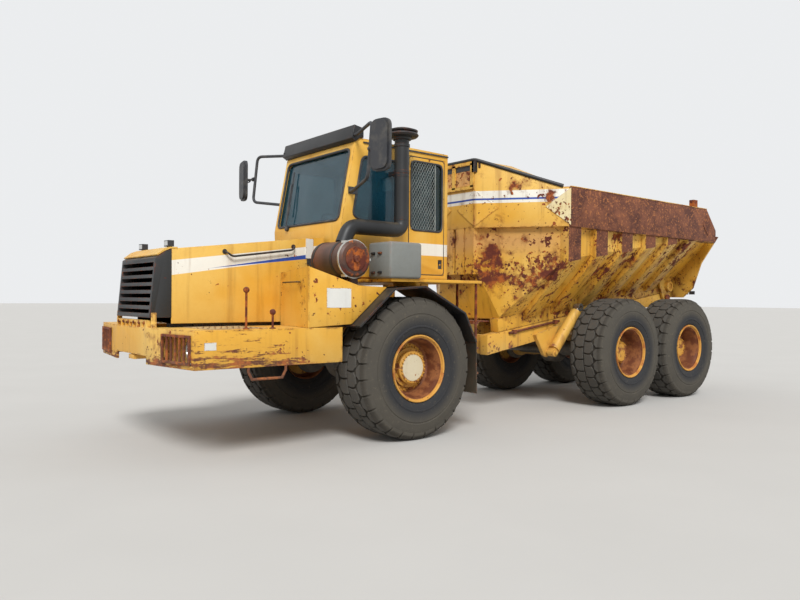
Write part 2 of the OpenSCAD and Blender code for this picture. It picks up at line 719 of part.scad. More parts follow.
module bogie_beams() color(paint) truck() both_sides() difference() {
    union() {
        side_solid([[mid_x, axle_z + 180], [mid_x, axle_z - 150], [mid_x - 300, axle_z - 180],
            [rear_x + 300, axle_z - 180], [rear_x, axle_z - 150], [rear_x, axle_z + 180]], 655, 740);
        for (x = [mid_x, rear_x])
            cross_shaft(x, axle_z, 180, 655, 740);
    }
    for (x = [mid_x, rear_x])
        cross_shaft(x, axle_z, axle_r + fit, 650, 745);
}

// Dump body

// Plan of the dump body, inset by the amount in and running back to the station tail
function body_plan(in, tail) = [
    [body_front_x - in, body_nose_y - in * 0.35], [body_corner_x - in * 0.6, body_y - in],
    [tail, body_y - in], [tail, -body_y + in], [body_corner_x - in * 0.6, -body_y + in],
    [body_front_x - in, -body_nose_y + in * 0.35]
];

// Cross section of the hull, inset by the amount in, seen along the floor
function hull_section(in) = [
    [-floor_y + in * 0.41, in], [floor_y - in * 0.41, in], [body_y - 25 - in, 790 + in * 0.35],
    [body_y + 5 - in, 3200], [-body_y - 5 + in, 3200], [-body_y + 25 + in, 790 + in * 0.35]
];

// Side view that trims the hull's nose and tail
function hull_side(in) = [
    [body_front_x + 50 - in, 3200], [body_front_x + 50 - in, 1860 + in], [body_front_x - in, 1860 + in],
    [body_front_x - 208 - in, floor_z + in], [body_front_x - 208 - in, floor_z - 600],
    [body_tail_x - 200, floor_z - 600], [body_tail_x - 200, 3200]
];

// Solid inside the hull's plates when inset by the amount in, up to the height top
module hull_form(in, top, tail) {
    intersection() {
        along_floor() cross_solid(hull_section(in), -6000, 1000);
        plan_solid(body_plan(in, tail), 0, top);
        side_solid(hull_side(in), -2000, 2000);
    }
}

module dump_body() color(pale_paint) truck() {
    band_z = rim_top_z - rim_band_h;
    difference() {
        union() {
            hull_form(rib_d, band_z + 20, body_tail_x);
            // Rim band
            plan_solid(body_plan(0, -6600), band_z, rim_top_z);
            // Ribs
            intersection() {
                hull_form(0, band_z + 20, body_tail_x);
                for (i = [0 : rib_count - 1])
                    block([-2780 - i * rib_pitch - rib_w / 2, -body_y, 0], [-2780 - i * rib_pitch + rib_w / 2, body_y, rim_top_z]);
            }
            // Spill guard over the nose
            intersection() {
                plan_solid(body_plan(0, -2620), rim_top_z - 10, guard_z);
                cross_solid([[-1340, rim_top_z - 10], [-1340, rim_top_z], [-body_nose_y, guard_z],
                    [body_nose_y, guard_z], [1340, rim_top_z], [1340, rim_top_z - 10]], -3000, 0);
            }
            // Sills that rest over the frame rails
            both_sides() intersection() {
                along_floor() block([-4250, rear_rail_y - rear_rail_w, -rail_gap + clear + 3], [-60, rear_rail_y, rib_d + 10]);
                block([tip_x + 130, 0, 0], [body_front_x - 150, 2000, 3000]);
            }
            // Ears of the tipping pivot
            both_sides() difference() {
                side_solid([[tip_x + 260, floor_at(tip_x + 260) + 165], [tip_x + 80, tip_z - 60], [tip_x - 20, tip_z - 95],
                    [tip_x - 90, tip_z - 40], [tip_x - 200, floor_at(tip_x - 200) + 165]],
                    rear_rail_y + 15, rear_rail_y + 55);
                cross_shaft(tip_x, tip_z, tip_pin_r + fit, rear_rail_y, rear_rail_y + 60);
            }
            // Lugs beside the hoists' upper eyes
            both_sides()
                side_solid([[hoist_top_x + 110, floor_at(hoist_top_x) + 165], [hoist_top_x + 60, hoist_top_z - 50],
                    [hoist_top_x - 60, hoist_top_z - 50], [hoist_top_x - 110, floor_at(hoist_top_x) + 165]],
                    rear_rail_y + 10, hoist_y - hoist_r - 14);
        }
        // Load space
        hull_form(rib_d + plate, rim_top_z + 800, body_tail_x - 100);
    }
}

// Hoists

hoist_len = norm([hoist_top_x - hoist_x, hoist_top_z - hoist_z]);
hoist_deg = atan2(hoist_top_z - hoist_z, hoist_top_x - hoist_x);

// Places a hoist's pieces on both sides: lower pin at the origin, upper pin toward +X
module hoist_place() {
    truck() both_sides()
        translate([hoist_x, hoist_y, hoist_z]) rotate([0, -hoist_deg, 0]) children();
}

// One tube of a hoist, with its bore; stage 0 is the barrel
module hoist_tube(stage) {
    r = hoist_r - stage * hoist_step;
    rotate([0, 90, 0]) difference() {
        translate([0, 0, 55 + stage * 10]) cylinder(r = r, h = hoist_len - 150);
        translate([0, 0, 63 + stage * 10]) cylinder(r = r - hoist_step + fit, h = hoist_len);
    }
}

module hoist_barrels() color(paint) hoist_place() {
    hoist_tube(0);
    difference() {
        union() {
            rotate([90, 0, 0]) cylinder(r = 58, h = 110, center = true);
            block([0, -45, -45], [60, 45, 45]);
        }
        rotate([90, 0, 0]) cylinder(r = 30 + fit, h = 120, center = true);
    }
}

module hoist_stage(stage) color(steel) hoist_place() hoist_tube(stage);

module hoist_rods() color(steel) hoist_place() {
    r = hoist_r - 4 * hoist_step;
    rotate([0, 90, 0]) translate([0, 0, 95]) cylinder(r = r, h = hoist_len - 95 - 40);
    translate([hoist_len, 0, 0]) rotate([90, 0, 0]) difference() {
        cylinder(r = 58, h = 100, center = true);
        cylinder(r = 30, h = 110, center = true);
    }
}

// Wheels

// Places a wheel: the axis along Y, with its outer face toward the side's outside
module wheel_place(x, side) {
    translate([front_axle_x + x, side * wheel_y, axle_z])
        rotate([side > 0 ? -90 : 90, 0, 0]) children();
}

module tyre(x, side) color(rubber) wheel_place(x, side) {
    h = tyre_w / 2;
    rotate_extrude($fn = 96) polygon([
        [rim_r + fit, -h + 45], [flange_r, -h + 40], [flange_r + 60, -h + 5], [560, -h], [680, -h + 15],
        [tyre_r - 30, -h + 45], [tyre_r, -h + 90], [tyre_r, h - 90], [tyre_r - 30, h - 45],
        [680, h - 15], [560, h], [flange_r + 60, h - 5], [flange_r, h - 40], [rim_r + fit, h - 45]
    ]);
}

module rim(x, side, dish, hub_face, hub_r) color(rust) wheel_place(x, side) {
    h = tyre_w / 2;
    rotate_extrude($fn = 96) polygon([
        [spindle_r + fit, -150], [hub_r, -150], [hub_r, dish - 30], [rim_r - 20, dish - 30],
        [rim_r - 20, -h + 60], [rim_r, -h + 45], [rim_r, h - 45 + fit], [flange_r, h - 40 + fit],
        [flange_r, h - 22], [rim_r - 12, h - 40], [rim_r - 30, dish + 60], [rim_r - 60, dish],
        [hub_r + 20, dish], [hub_r, dish + 10], [hub_r - 25, hub_face], [0, hub_face], [0, 62],
        [spindle_r + fit, 62]
    ]);
}

front_frame();
front_axle();
bumper();
lamp_guards();
headlamps();
engine();
fender_boxes();
fender_flares();
cab_base();
steps();
cab_shell();
cab_glass();
visor();
seat();
steering_console();
air_cleaner();
intake_stack();
battery_box();
mirrors();
bonnet();
grille();
cab_door();
door_glass();
hitch_yoke();
rear_frame();
bogie_beams();
rear_axles();
dump_body();
hoist_barrels();
hoist_stage(1);  // hoist_stage_1
hoist_stage(2);  // hoist_stage_2
hoist_stage(3);  // hoist_stage_3
hoist_rods();
steer_barrel(1);  // steer_barrel_left
steer_barrel(-1);  // steer_barrel_right
steer_rod_piece(1);  // steer_rod_left
steer_rod_piece(-1);  // steer_rod_right
tyre(0, 1);  // tyre_front_left
tyre(0, -1);  // tyre_front_right
tyre(mid_x, 1);  // tyre_middle_left
tyre(mid_x, -1);  // tyre_middle_right
tyre(rear_x, 1);  // tyre_rear_left
tyre(rear_x, -1);  // tyre_rear_right
rim(0, 1, 60, 190, 200);  // rim_front_left
rim(0, -1, 60, 190, 200);  // rim_front_right
rim(mid_x, 1, 0, 120, 160);  // rim_middle_left
rim(mid_x, -1, 0, 120, 160);  // rim_middle_right
rim(rear_x, 1, 0, 120, 160);  // rim_rear_left
rim(rear_x, -1, 0, 120, 160);  // rim_rear_right
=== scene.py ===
"""Looks of a weathered articulated dump truck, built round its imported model.

Lengths are in metres in the row frame: X forward, Y to the driver's left and Z up. Stations
are measured forward from the front axle, and at() turns one into a place.
"""

from __future__ import annotations

import json
import logging
import math
from dataclasses import dataclass, field
from enum import Enum
from functools import reduce
from typing import Iterable, Sequence, Union

import bmesh
import bpy
from mathutils import Matrix, Vector

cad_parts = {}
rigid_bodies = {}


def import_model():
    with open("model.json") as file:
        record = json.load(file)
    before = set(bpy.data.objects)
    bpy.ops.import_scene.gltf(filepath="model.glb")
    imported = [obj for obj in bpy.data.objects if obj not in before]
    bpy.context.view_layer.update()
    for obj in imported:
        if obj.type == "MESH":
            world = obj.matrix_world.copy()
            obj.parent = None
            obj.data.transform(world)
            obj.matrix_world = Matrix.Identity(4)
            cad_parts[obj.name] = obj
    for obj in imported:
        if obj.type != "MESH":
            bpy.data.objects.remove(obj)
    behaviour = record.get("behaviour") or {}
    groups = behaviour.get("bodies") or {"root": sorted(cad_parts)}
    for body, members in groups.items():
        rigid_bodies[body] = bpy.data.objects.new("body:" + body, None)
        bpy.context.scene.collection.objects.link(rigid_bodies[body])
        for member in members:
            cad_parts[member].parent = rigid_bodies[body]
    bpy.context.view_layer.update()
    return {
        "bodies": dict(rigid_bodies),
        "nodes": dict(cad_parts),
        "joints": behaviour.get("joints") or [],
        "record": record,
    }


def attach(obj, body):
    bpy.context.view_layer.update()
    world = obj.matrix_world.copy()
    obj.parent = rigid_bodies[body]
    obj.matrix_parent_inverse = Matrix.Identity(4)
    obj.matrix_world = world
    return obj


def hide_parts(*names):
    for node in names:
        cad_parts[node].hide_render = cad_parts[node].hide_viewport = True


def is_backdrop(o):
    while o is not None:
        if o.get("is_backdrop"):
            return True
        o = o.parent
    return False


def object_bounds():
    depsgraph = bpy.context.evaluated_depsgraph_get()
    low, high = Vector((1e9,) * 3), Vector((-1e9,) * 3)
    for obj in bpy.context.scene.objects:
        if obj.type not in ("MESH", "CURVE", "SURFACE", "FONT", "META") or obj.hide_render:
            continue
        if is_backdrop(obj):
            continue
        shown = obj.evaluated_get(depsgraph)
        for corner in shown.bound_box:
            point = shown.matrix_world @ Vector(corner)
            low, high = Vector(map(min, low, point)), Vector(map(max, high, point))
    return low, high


LOG = logging.getLogger("dump_truck")

Colour = tuple[float, float, float]
Path = Sequence[Sequence[float]]
Plane = tuple[float, float, float, float]
Spot = tuple[float, float]
Socket = bpy.types.NodeSocket
Value = Union[float, Sequence[float], Socket]

FRONT_AXLE = 2.05
AXLES = {"front": 0.0, "middle": -4.105, "rear": -5.771}
WHEEL_RADIUS = 0.79
SHAFT_RADIUS = 0.045
AHEAD, OUT, UP = Vector((1, 0, 0)), Vector((0, 1, 0)), Vector((0, 0, 1))
SCREEN_WAY = Vector((0.98, 0, 0.19))
FRONT, REAR, BONNET, DOOR, DUMP = "front_unit", "rear_unit", "bonnet", "cab_door", "dump_body"


def tone(code: str) -> Colour:
    """Turns a display colour into the linear one that a shader takes.

    Args:
        code: Six hexadecimal digits.

    Returns:
        Linear red, green and blue.
    """
    channels = [int(code[i:i + 2], 16) / 255 for i in (0, 2, 4)]
    return tuple(c / 12.92 if c <= 0.04045 else ((c + 0.055) / 1.055) ** 2.4 for c in channels)


def at(station: float, y: float, z: float) -> Vector:
    """Returns the place at a station from the front axle."""
    return Vector((FRONT_AXLE + station, y, z))


def rectangle(left: float, right: float, low: float, high: float) -> list[Spot]:
    """Returns a rectangle's corners."""
    return [(left, low), (right, low), (right, high), (left, high)]


class Side(Enum):
    """The truck's two sides, by the sign of Y."""

    LEFT = 1
    RIGHT = -1


# Node trees and finishes


class Nodes:
    """Adds nodes to a tree that it empties first.

    Attributes:
        tree: The node tree.
    """

    def __init__(self, tree: bpy.types.NodeTree) -> None:
        """Empties the tree."""
        self.tree = tree
        tree.nodes.clear()

    def node(self, kind: str, sockets: dict | None = None, **settings) -> bpy.types.Node:
        """Adds a node.

        Args:
            kind: The node's type.
            sockets: Values or other sockets, by input name or number.
            **settings: The node's own settings.

        Returns:
            The node.
        """
        made = self.tree.nodes.new(kind)
        for key, value in settings.items():
            setattr(made, key, value)
        for key, value in (sockets or {}).items():
            if isinstance(value, Socket):
                self.tree.links.new(value, made.inputs[key])
            else:
                made.inputs[key].default_value = value
        return made

    def maths(self, operation: str, *values: Value) -> Socket:
        """Returns the result of a maths node on one to three values."""
        return self.node("ShaderNodeMath", dict(enumerate(values)), operation=operation).outputs[0]

    def chain(self, operation: str, values: Iterable[Value]) -> Socket:
        """Returns the result of an operation on each value and what came before it."""
        return reduce(lambda one, two: self.maths(operation, one, two), values)

    def times(self, *values: Value) -> Socket:
        """Returns the product of the values."""
        return self.chain("MULTIPLY", values)

    def plus(self, *values: Value) -> Socket:
        """Returns the sum of the values."""
        return self.chain("ADD", values)

    def most(self, *values: Value) -> Socket:
        """Returns the highest of the values."""
        return self.chain("MAXIMUM", values)


class Shade(Nodes):
    """Builds one material's nodes.

    Attributes:
        material: The material.
        place: Object coordinates.
        height: Their Z.
        folded: Object coordinates with both sides folded onto the left.
    """

    def __init__(self, name: str) -> None:
        """Starts an empty material.

        Args:
            name: Its name.
        """
        self.material = bpy.data.materials.new(name)
        self.material.use_nodes = True
        super().__init__(self.material.node_tree)
        self.place = self.node("ShaderNodeTexCoord").outputs["Object"]
        x, y, self.height = self.parts(self.place)
        self.folded = self.node("ShaderNodeCombineXYZ", {
            "X": x, "Y": self.maths("ABSOLUTE", y), "Z": self.height}).outputs[0]

    def parts(self, vector: Socket) -> tuple[Socket, Socket, Socket]:
        """Returns a vector's X, Y and Z."""
        return tuple(self.node("ShaderNodeSeparateXYZ", {"Vector": vector}).outputs)

    def geometry(self, name: str) -> Socket:
        """Returns an output of the geometry node."""
        return self.node("ShaderNodeNewGeometry").outputs[name]

    def dot(self, one: Value, two: Value) -> Socket:
        """Returns the dot product of two vectors."""
        return self.node("ShaderNodeVectorMath", {0: one, 1: two}, operation="DOT_PRODUCT").outputs["Value"]

    def step(self, value: Value, low: float, high: float) -> Socket:
        """Returns a smooth step of value, 0 at low and 1 at high."""
        return self.node("ShaderNodeMapRange", {"Value": value, "From Min": low, "From Max": high},
                         interpolation_type="SMOOTHSTEP").outputs[0]

    def noise(self, scale: float, detail: float = 4.0, rough: float = 0.55,
              stretch: tuple[float, float, float] = (1, 1, 1), shift: float = 0.0) -> Socket:
        """Returns noise on object coordinates.

        Args:
            scale: Noise cells in a metre.
            detail: Octaves.
            rough: Weight of the finer octaves.
            stretch: Scale along each axis.
            shift: Offset, so that two noises differ.

        Returns:
            The noise, about 0.5.
        """
        place = self.node("ShaderNodeMapping", {"Vector": self.place, "Scale": stretch,
                                                "Location": (shift, shift, shift)}).outputs[0]
        return self.node("ShaderNodeTexNoise", {"Vector": place, "Scale": scale, "Detail": detail,
                                                "Roughness": rough}).outputs["Fac"]

    def mix(self, share: Value, first: Colour | Socket, second: Colour | Socket, mode: str = "MIX") -> Socket:
        """Mixes two colours.

        Args:
            share: Share of the second one.
            first: The first colour.
            second: The second colour.
            mode: How the second one is laid over the first.

        Returns:
            The mixed colour.
        """
        ends = [value if isinstance(value, Socket) else (*value, 1.0) for value in (first, second)]
        return self.node("ShaderNodeMix", {0: share, 6: ends[0], 7: ends[1]}, data_type="RGBA",
                         blend_type=mode).outputs[2]

    def zone(self, planes: Sequence[Plane], soft: float) -> Socket:
        """Returns a mask of the space in front of every plane.

        Args:
            planes: Each plane's a, b, c, d, where ax + by + cz + d is above 0 inside.
            soft: Width of the mask's edge.

        Returns:
            The mask, 1 inside.
        """
        return self.times(*(self.step(self.plus(self.dot(self.folded, way), d), -soft / 2, soft / 2)
                            for *way, d in planes))

    def axle_radius(self) -> Socket:
        """Measures from the nearest axle, seen from the side.

        Returns:
            The distance.
        """
        flat = self.node("ShaderNodeVectorMath", {0: self.folded, 1: (1, 0, 1)},
                         operation="MULTIPLY").outputs[0]
        return self.chain("MINIMUM", (
            self.node("ShaderNodeVectorMath", {0: flat, 1: at(station, 0, WHEEL_RADIUS)},
                      operation="DISTANCE").outputs["Value"] for station in AXLES.values()))

    def edges(self, reach: float) -> Socket:
        """Finds the sharp edges.

        Args:
            reach: How far from an edge it still tells.

        Returns:
            A mask, 1 at sharp edges.
        """
        rounded = self.node("ShaderNodeBevel", {"Radius": reach}, samples=4).outputs[0]
        bend = self.maths("SUBTRACT", 1.0, self.dot(rounded, self.geometry("True Normal")))
        return self.step(bend, 0.0, 0.22)

    def surface(self, sockets: dict, height: Socket | None = None,
                depth: float = 0.002) -> bpy.types.Material:
        """Ends the material in one surface shader.

        Args:
            sockets: The surface's inputs.
            height: A height for the bump, where there is one.
            depth: The bump's depth.

        Returns:
            The material.
        """
        if height is not None:
            bump = self.node("ShaderNodeBump", {"Height": height, "Distance": depth, "Strength": 0.8})
            sockets = {**sockets, "Normal": bump.outputs[0]}
        return self.finished(self.node("ShaderNodeBsdfPrincipled", sockets))

    def finished(self, shader: bpy.types.Node) -> bpy.types.Material:
        """Returns the material, ended in a shader."""
        self.node("ShaderNodeOutputMaterial", {"Surface": shader.outputs[0]})
        return self.material


@dataclass(frozen=True)
class Mask:
    """Part of the truck, between planes, with its own look.

    Attributes:
        planes: The planes that bound it.
        colour: Its paint, where it differs.
        rust: Rust patches added.
        soft: Width of its edge.
        coat: Share of an even dark rust coat.
        facing: Whether it takes only faces that look sideways.
    """

    planes: tuple[Plane, ...]
    colour: Colour | None = None
    rust: float = 0.0
    soft: float = 0.004
    coat: float = 0.0
    facing: bool = False


RUST_DARK = tone("4a2318")
RUST_RED = tone("6b3022")
RUST_ORANGE = tone("a85a24")
DUST = tone("a08c6c")


@dataclass(frozen=True)
class WeatheredPaint:
    """Sun-faded paint with rust chips, patches, runs and worn edges.

    Attributes:
        name: Name of the material.
        colour: The paint.
        faded: The paint where the sun has bleached it.
        patches: Noise level above which large rust patches start.
        chips: Noise level above which small rust spots start.
        stain: Strength of the brown runs.
        wear: Reach of the rust at edges.
        dust: Share of dust on upward faces.
        rough: Roughness of sound paint.
        masks: Stripes and rustier zones.
        scratches: Zones that are scraped and scratched.
    """

    name: str
    colour: Colour
    faded: Colour
    patches: float = 0.70
    chips: float = 0.66
    stain: float = 0.30
    wear: float = 0.012
    dust: float = 0.35
    rough: float = 0.42
    masks: tuple[Mask, ...] = ()
    scratches: tuple[Mask, ...] = ()

    def sound(self, s: Shade) -> tuple[Socket, list[Socket], list[Socket]]:
        """Lays the sound paint and its stripes.

        Args:
            s: The material in the making.

        Returns:
            The paint, and the rust and the coats that the masks add.
        """
        paint = s.mix(s.step(s.noise(1.1, 3), 0.38, 0.66), self.colour, self.faded)
        paint = s.mix(s.times(s.noise(34, 3), 0.35), paint, (0.25, 0.2, 0.12), "SOFT_LIGHT")
        added, coats = [], []
        for mask in self.masks:
            inside = s.zone(mask.planes, mask.soft)
            if mask.facing:
                sideways = s.maths("ABSOLUTE", s.parts(s.geometry("True Normal"))[1])
                inside = s.times(inside, s.step(sideways, 0.96, 0.985))
            if mask.colour is not None:
                paint = s.mix(inside, paint, mask.colour)
            if mask.rust:
                added.append(s.times(inside, mask.rust))
            if mask.coat:
                coats.append(s.times(inside, mask.coat))
        return paint, added, coats

    def rusted(self, s: Shade, large: Socket, clusters: Socket) -> Socket:
        """Finds where the paint has gone, by patches, chips, worn edges and scratches.

        Args:
            s: The material in the making.
            large: Noise of the large patches.
            clusters: Where rust gathers.

        Returns:
            A mask of the rust.
        """
        fine = s.most(s.noise(21, 5, 0.6, shift=7), s.plus(s.noise(11, 3, 0.5, shift=17), -0.03))
        patch = s.step(large, self.patches, self.patches + 0.05)
        chip = s.step(s.plus(fine, clusters), self.chips, self.chips + 0.03)
        near = s.times(s.edges(self.wear), s.step(s.noise(11, 5, 0.65, shift=2), 0.44, 0.60))
        rust = s.most(patch, chip, near)
        for mask in self.scratches:
            lines = s.plus(s.noise(2.2, 9, 0.72, (2.2, 2.2, 14), 21),
                           s.times(s.noise(9, 6, 0.7, shift=22), 0.3))
            scraped = s.plus(lines, s.times(s.zone(mask.planes, mask.soft), 0.34))
            rust = s.most(rust, s.step(scraped, 0.92, 1.0))
        return rust

    def stained(self, s: Shade, paint: Socket, large: Socket) -> Socket:
        """Adds brown runs, and halos round the rust patches.

        Args:
            s: The material in the making.
            paint: The paint.
            large: Noise of the large patches.

        Returns:
            The stained paint.
        """
        halo = s.times(s.step(large, self.patches - 0.09, self.patches + 0.02), 0.5)
        runs = s.step(s.noise(1.0, 5, 0.6, (9, 9, 0.7), 3), 0.50, 0.74)
        return s.mix(s.most(s.times(runs, self.stain), halo), paint, tone("8d5a22"), "MULTIPLY")

    def coated(self, s: Shade, colour: Socket, coat: Socket) -> tuple[Socket, Socket]:
        """Adds an even coat of dark rust.

        Args:
            s: The material in the making.
            colour: The colour below it.
            coat: How strong the coat is.

        Returns:
            The colour, and a mask of where the coat covers.
        """
        cover = s.step(s.plus(coat, s.times(s.noise(4.5, 7, 0.65, shift=12), 0.9)), 1.12, 1.22)
        dark = s.mix(s.step(s.noise(3.4, 7, 0.68, shift=13), 0.34, 0.66), tone("4e2c24"), tone("7d4c36"))
        fleck = s.times(s.step(s.noise(30, 6, 0.72, shift=14), 0.53, 0.62), 0.75)
        return s.mix(cover, colour, s.mix(fleck, dark, tone("b07040"))), cover

    def dusted(self, s: Shade, colour: Socket) -> Socket:
        """Adds dust on faces that look up, and low on the truck.

        Args:
            s: The material in the making.
            colour: The colour below it.

        Returns:
            The dusty colour.
        """
        upward = s.step(s.parts(s.geometry("Normal"))[2], 0.5, 0.95)
        lying = s.times(upward, s.step(s.noise(5, 5, shift=8), 0.3, 0.7))
        low = s.times(s.step(s.height, 1.5, 0.5), 0.6)
        return s.mix(s.times(s.most(lying, low), self.dust), colour, DUST)

    def build(self) -> bpy.types.Material:
        """Builds the finish.

        Returns:
            The material.
        """
        s = Shade(self.name)
        paint, added, coats = self.sound(s)
        clusters = s.times(s.maths("SUBTRACT", s.noise(1.7, 3, shift=9), 0.5), 0.5)
        if added:
            clusters = s.plus(clusters, s.plus(*added))
        large = s.plus(s.noise(3.2, 8, 0.62, shift=4), clusters)
        rust = self.rusted(s, large, clusters)
        flecks = s.step(s.noise(9, 6, 0.7, shift=5), 0.44, 0.64)
        metal = s.mix(flecks, s.mix(s.noise(3, 3, shift=1), RUST_DARK, RUST_RED), RUST_ORANGE)
        colour = s.mix(rust, self.stained(s, paint, large), metal)
        if coats:
            colour, cover = self.coated(s, colour, s.most(*coats))
            rust = s.most(rust, cover)
        rough = s.plus(s.times(rust, 0.42), self.rough, s.times(s.noise(14, 4), 0.12))
        height = s.plus(s.times(rust, s.noise(60, 4)), s.times(s.noise(2.2, 2), 2.5))
        sockets = {"Base Color": self.dusted(s, colour), "Roughness": rough, "Specular IOR Level": 0.4}
        return s.surface(sockets, height, 0.004)


@dataclass(frozen=True)
class DustyRubber:
    """Tyre rubber, dusty on its sidewall, and darker at the foot of its tread blocks than on their tops."""

    name: str = "dusty tyre rubber"

    def build(self) -> bpy.types.Material:
        """Builds the finish.

        Returns:
            The material.
        """
        s = Shade(self.name)
        radius = s.axle_radius()
        wall = s.mix(s.step(radius, 0.47, 0.60), tone("2c2e33"), tone("565148"))
        wall = s.mix(s.times(s.noise(3.5, 6, 0.6), 0.75), wall, tone("3c3a37"))
        # The tread is darker towards the foot of its blocks than on their tops.
        tread = s.mix(s.step(radius, 0.783, 0.774), tone("504d48"), tone("3d3933"))
        colour = s.mix(s.step(radius, 0.735, 0.765), wall, tread)
        colour = s.mix(s.step(s.noise(26, 6, 0.7, shift=3), 0.56, 0.92), colour, tone("857a66"))
        height = s.plus(s.noise(45, 5), s.times(s.noise(7, 4), 0.8))
        return s.surface({"Base Color": colour, "Roughness": 0.88, "Specular IOR Level": 0.25}, height, 0.003)


@dataclass(frozen=True)
class WheelPaint:
    """Rusted wheel: an orange flange, a brown barrel whose colour is rust and painted shade of the deep dish,
    and a yellow disc.
    """

    name: str = "rusted wheel paint"

    def build(self) -> bpy.types.Material:
        """Builds the finish.

        Returns:
            The material.
        """
        s = Shade(self.name)
        radius = s.axle_radius()
        blotch = s.step(s.noise(7, 7, 0.66, shift=3), 0.42, 0.60)
        # The barrel's brown is rust and painted shade, darker in the deep dish between flange and disc.
        barrel = s.mix(blotch, tone("6a3c26"), tone("8f5a34"))
        flange = s.mix(s.step(s.noise(5, 6, 0.6, shift=5), 0.46, 0.62), tone("cf9844"), tone("b06c34"))
        disc = s.mix(s.step(s.noise(8, 7, 0.66, shift=8), 0.50, 0.58), tone("c9953f"), tone("84502c"))
        colour = s.mix(s.step(radius, 0.262, 0.276), disc, barrel)
        colour = s.mix(s.step(radius, 0.332, 0.345), colour, flange)
        colour = s.mix(s.step(s.noise(40, 5, 0.65, shift=2), 0.60, 0.66), colour, RUST_DARK)
        rough = s.plus(s.times(blotch, 0.25), 0.5)
        return s.surface({"Base Color": colour, "Roughness": rough, "Specular IOR Level": 0.35},
                         s.noise(35, 5), 0.002)


@dataclass(frozen=True)
class CastMetal:
    """Dusty cast or forged metal.

    Attributes:
        name: Name of the material.
        colour: Its colour.
        other: Its colour in blotches.
        rough: Its roughness.
        metal: How metallic it is.
    """

    name: str
    colour: Colour
    other: Colour
    rough: float = 0.7
    metal: float = 0.0

    def build(self) -> bpy.types.Material:
        """Builds the finish.

        Returns:
            The material.
        """
        s = Shade(self.name)
        colour = s.mix(s.step(s.noise(6, 6, 0.65), 0.36, 0.66), self.colour, self.other)
        colour = s.mix(s.times(s.step(s.noise(30, 4, shift=6), 0.5, 0.8), 0.5), colour, RUST_DARK)
        return s.surface({"Base Color": colour, "Roughness": self.rough, "Metallic": self.metal},
                         s.noise(55, 4), 0.0015)


@dataclass(frozen=True)
class PlatedRod:
    """Ground and plated rod, with a film of dust."""

    name: str = "plated rod"

    def build(self) -> bpy.types.Material:
        """Builds the finish.

        Returns:
            The material.
        """
        s = Shade(self.name)
        dusty = s.step(s.noise(12, 5), 0.45, 0.75)
        return s.surface({"Base Color": s.mix(dusty, tone("c4c2bc"), tone("8f8574")), "Metallic": 0.85,
                          "Roughness": s.plus(s.times(dusty, 0.35), 0.2)})


@dataclass(frozen=True)
class WindowGlass:
    """Flat glass with a film of dust, its base colour a painted reflection.

    Attributes:
        name: Name of the material.
        tint: Painted reflection, the colour of what the glass would reflect, laid on as its base colour.
        clear: Share of light that passes where it is clean.
    """

    name: str
    tint: Colour
    clear: float

    def build(self) -> bpy.types.Material:
        """Builds the finish.

        Returns:
            The material.
        """
        s = Shade(self.name)
        film = s.step(s.noise(3.0, 6, 0.6), 0.40, 0.85)
        # The pane's base colour is a painted reflection of the surroundings.
        pane = s.node("ShaderNodeBsdfPrincipled", {
            "Base Color": (*self.tint, 1), "Roughness": 0.06, "Specular IOR Level": 0.8})
        through = s.node("ShaderNodeBsdfTransparent", {"Color": (0.62, 0.74, 0.76, 1)})
        share = s.maths("SUBTRACT", self.clear, s.times(film, 0.25))
        both = s.node("ShaderNodeMixShader", {0: share, 1: pane.outputs[0], 2: through.outputs[0]})
        return s.finished(both)


@dataclass(frozen=True)
class WovenCloth:
    """Woven seat cover."""

    name: str = "woven seat cloth"

    def build(self) -> bpy.types.Material:
        """Builds the finish.

        Returns:
            The material.
        """
        s = Shade(self.name)
        weave = s.times(*(s.node("ShaderNodeTexWave", {"Vector": s.place, "Scale": 90.0, "Distortion": 0.6},
                                 bands_direction=axis).outputs["Fac"] for axis in ("Y", "Z")))
        colour = s.mix(weave, tone("23262b"), tone("474a50"))
        colour = s.mix(s.times(s.noise(6, 4), 0.5), colour, tone("5d564b"))
        return s.surface({"Base Color": colour, "Roughness": 0.9, "Sheen Weight": 0.2}, weave, 0.001)


@dataclass(frozen=True)
class MouldedPlastic:
    """Moulded plastic or rubber trim with a fine grain.

    Attributes:
        name: Name of the material.
        colour: Its colour.
        rough: Its roughness.
    """

    name: str
    colour: Colour
    rough: float = 0.55

    def build(self) -> bpy.types.Material:
        """Builds the finish.

        Returns:
            The material.
        """
        s = Shade(self.name)
        dusty = s.times(s.step(s.noise(8, 6, 0.6), 0.45, 0.8), 0.35)
        colour = s.mix(dusty, self.colour, tone("7b7468"))
        return s.surface({"Base Color": colour, "Roughness": self.rough}, s.noise(120, 3), 0.0006)


# Mesh making


def as_object(name: str, data: bpy.types.ID) -> bpy.types.Object:
    """Links a new object.

    Args:
        name: The object's name.
        data: What it shows.

    Returns:
        The object.
    """
    obj = bpy.data.objects.new(name, data)
    bpy.context.scene.collection.objects.link(obj)
    return obj


def as_mesh(name: str, bm: bmesh.types.BMesh, angle: float = 32.0) -> bpy.types.Mesh:
    """Turns a bmesh into a mesh that is smooth below an angle.

    Args:
        name: The mesh's name.
        bm: The bmesh, which is freed.
        angle: Edges sharper than this, in degrees, stay sharp.

    Returns:
        The mesh.
    """
    bmesh.ops.recalc_face_normals(bm, faces=bm.faces)
    mesh = bpy.data.meshes.new(name)
    bm.to_mesh(mesh)
    bm.free()
    mesh.shade_smooth()
    mesh.set_sharp_from_angle(angle=math.radians(angle))
    return mesh


def final_mesh(obj: bpy.types.Object) -> bpy.types.Mesh:
    """Turns an object with its modifiers into a plain mesh.

    Args:
        obj: The object, which is removed.

    Returns:
        The mesh.
    """
    bpy.context.view_layer.update()
    evaluated = obj.evaluated_get(bpy.context.evaluated_depsgraph_get())
    mesh = bpy.data.meshes.new_from_object(evaluated)
    bpy.data.objects.remove(obj)
    return mesh


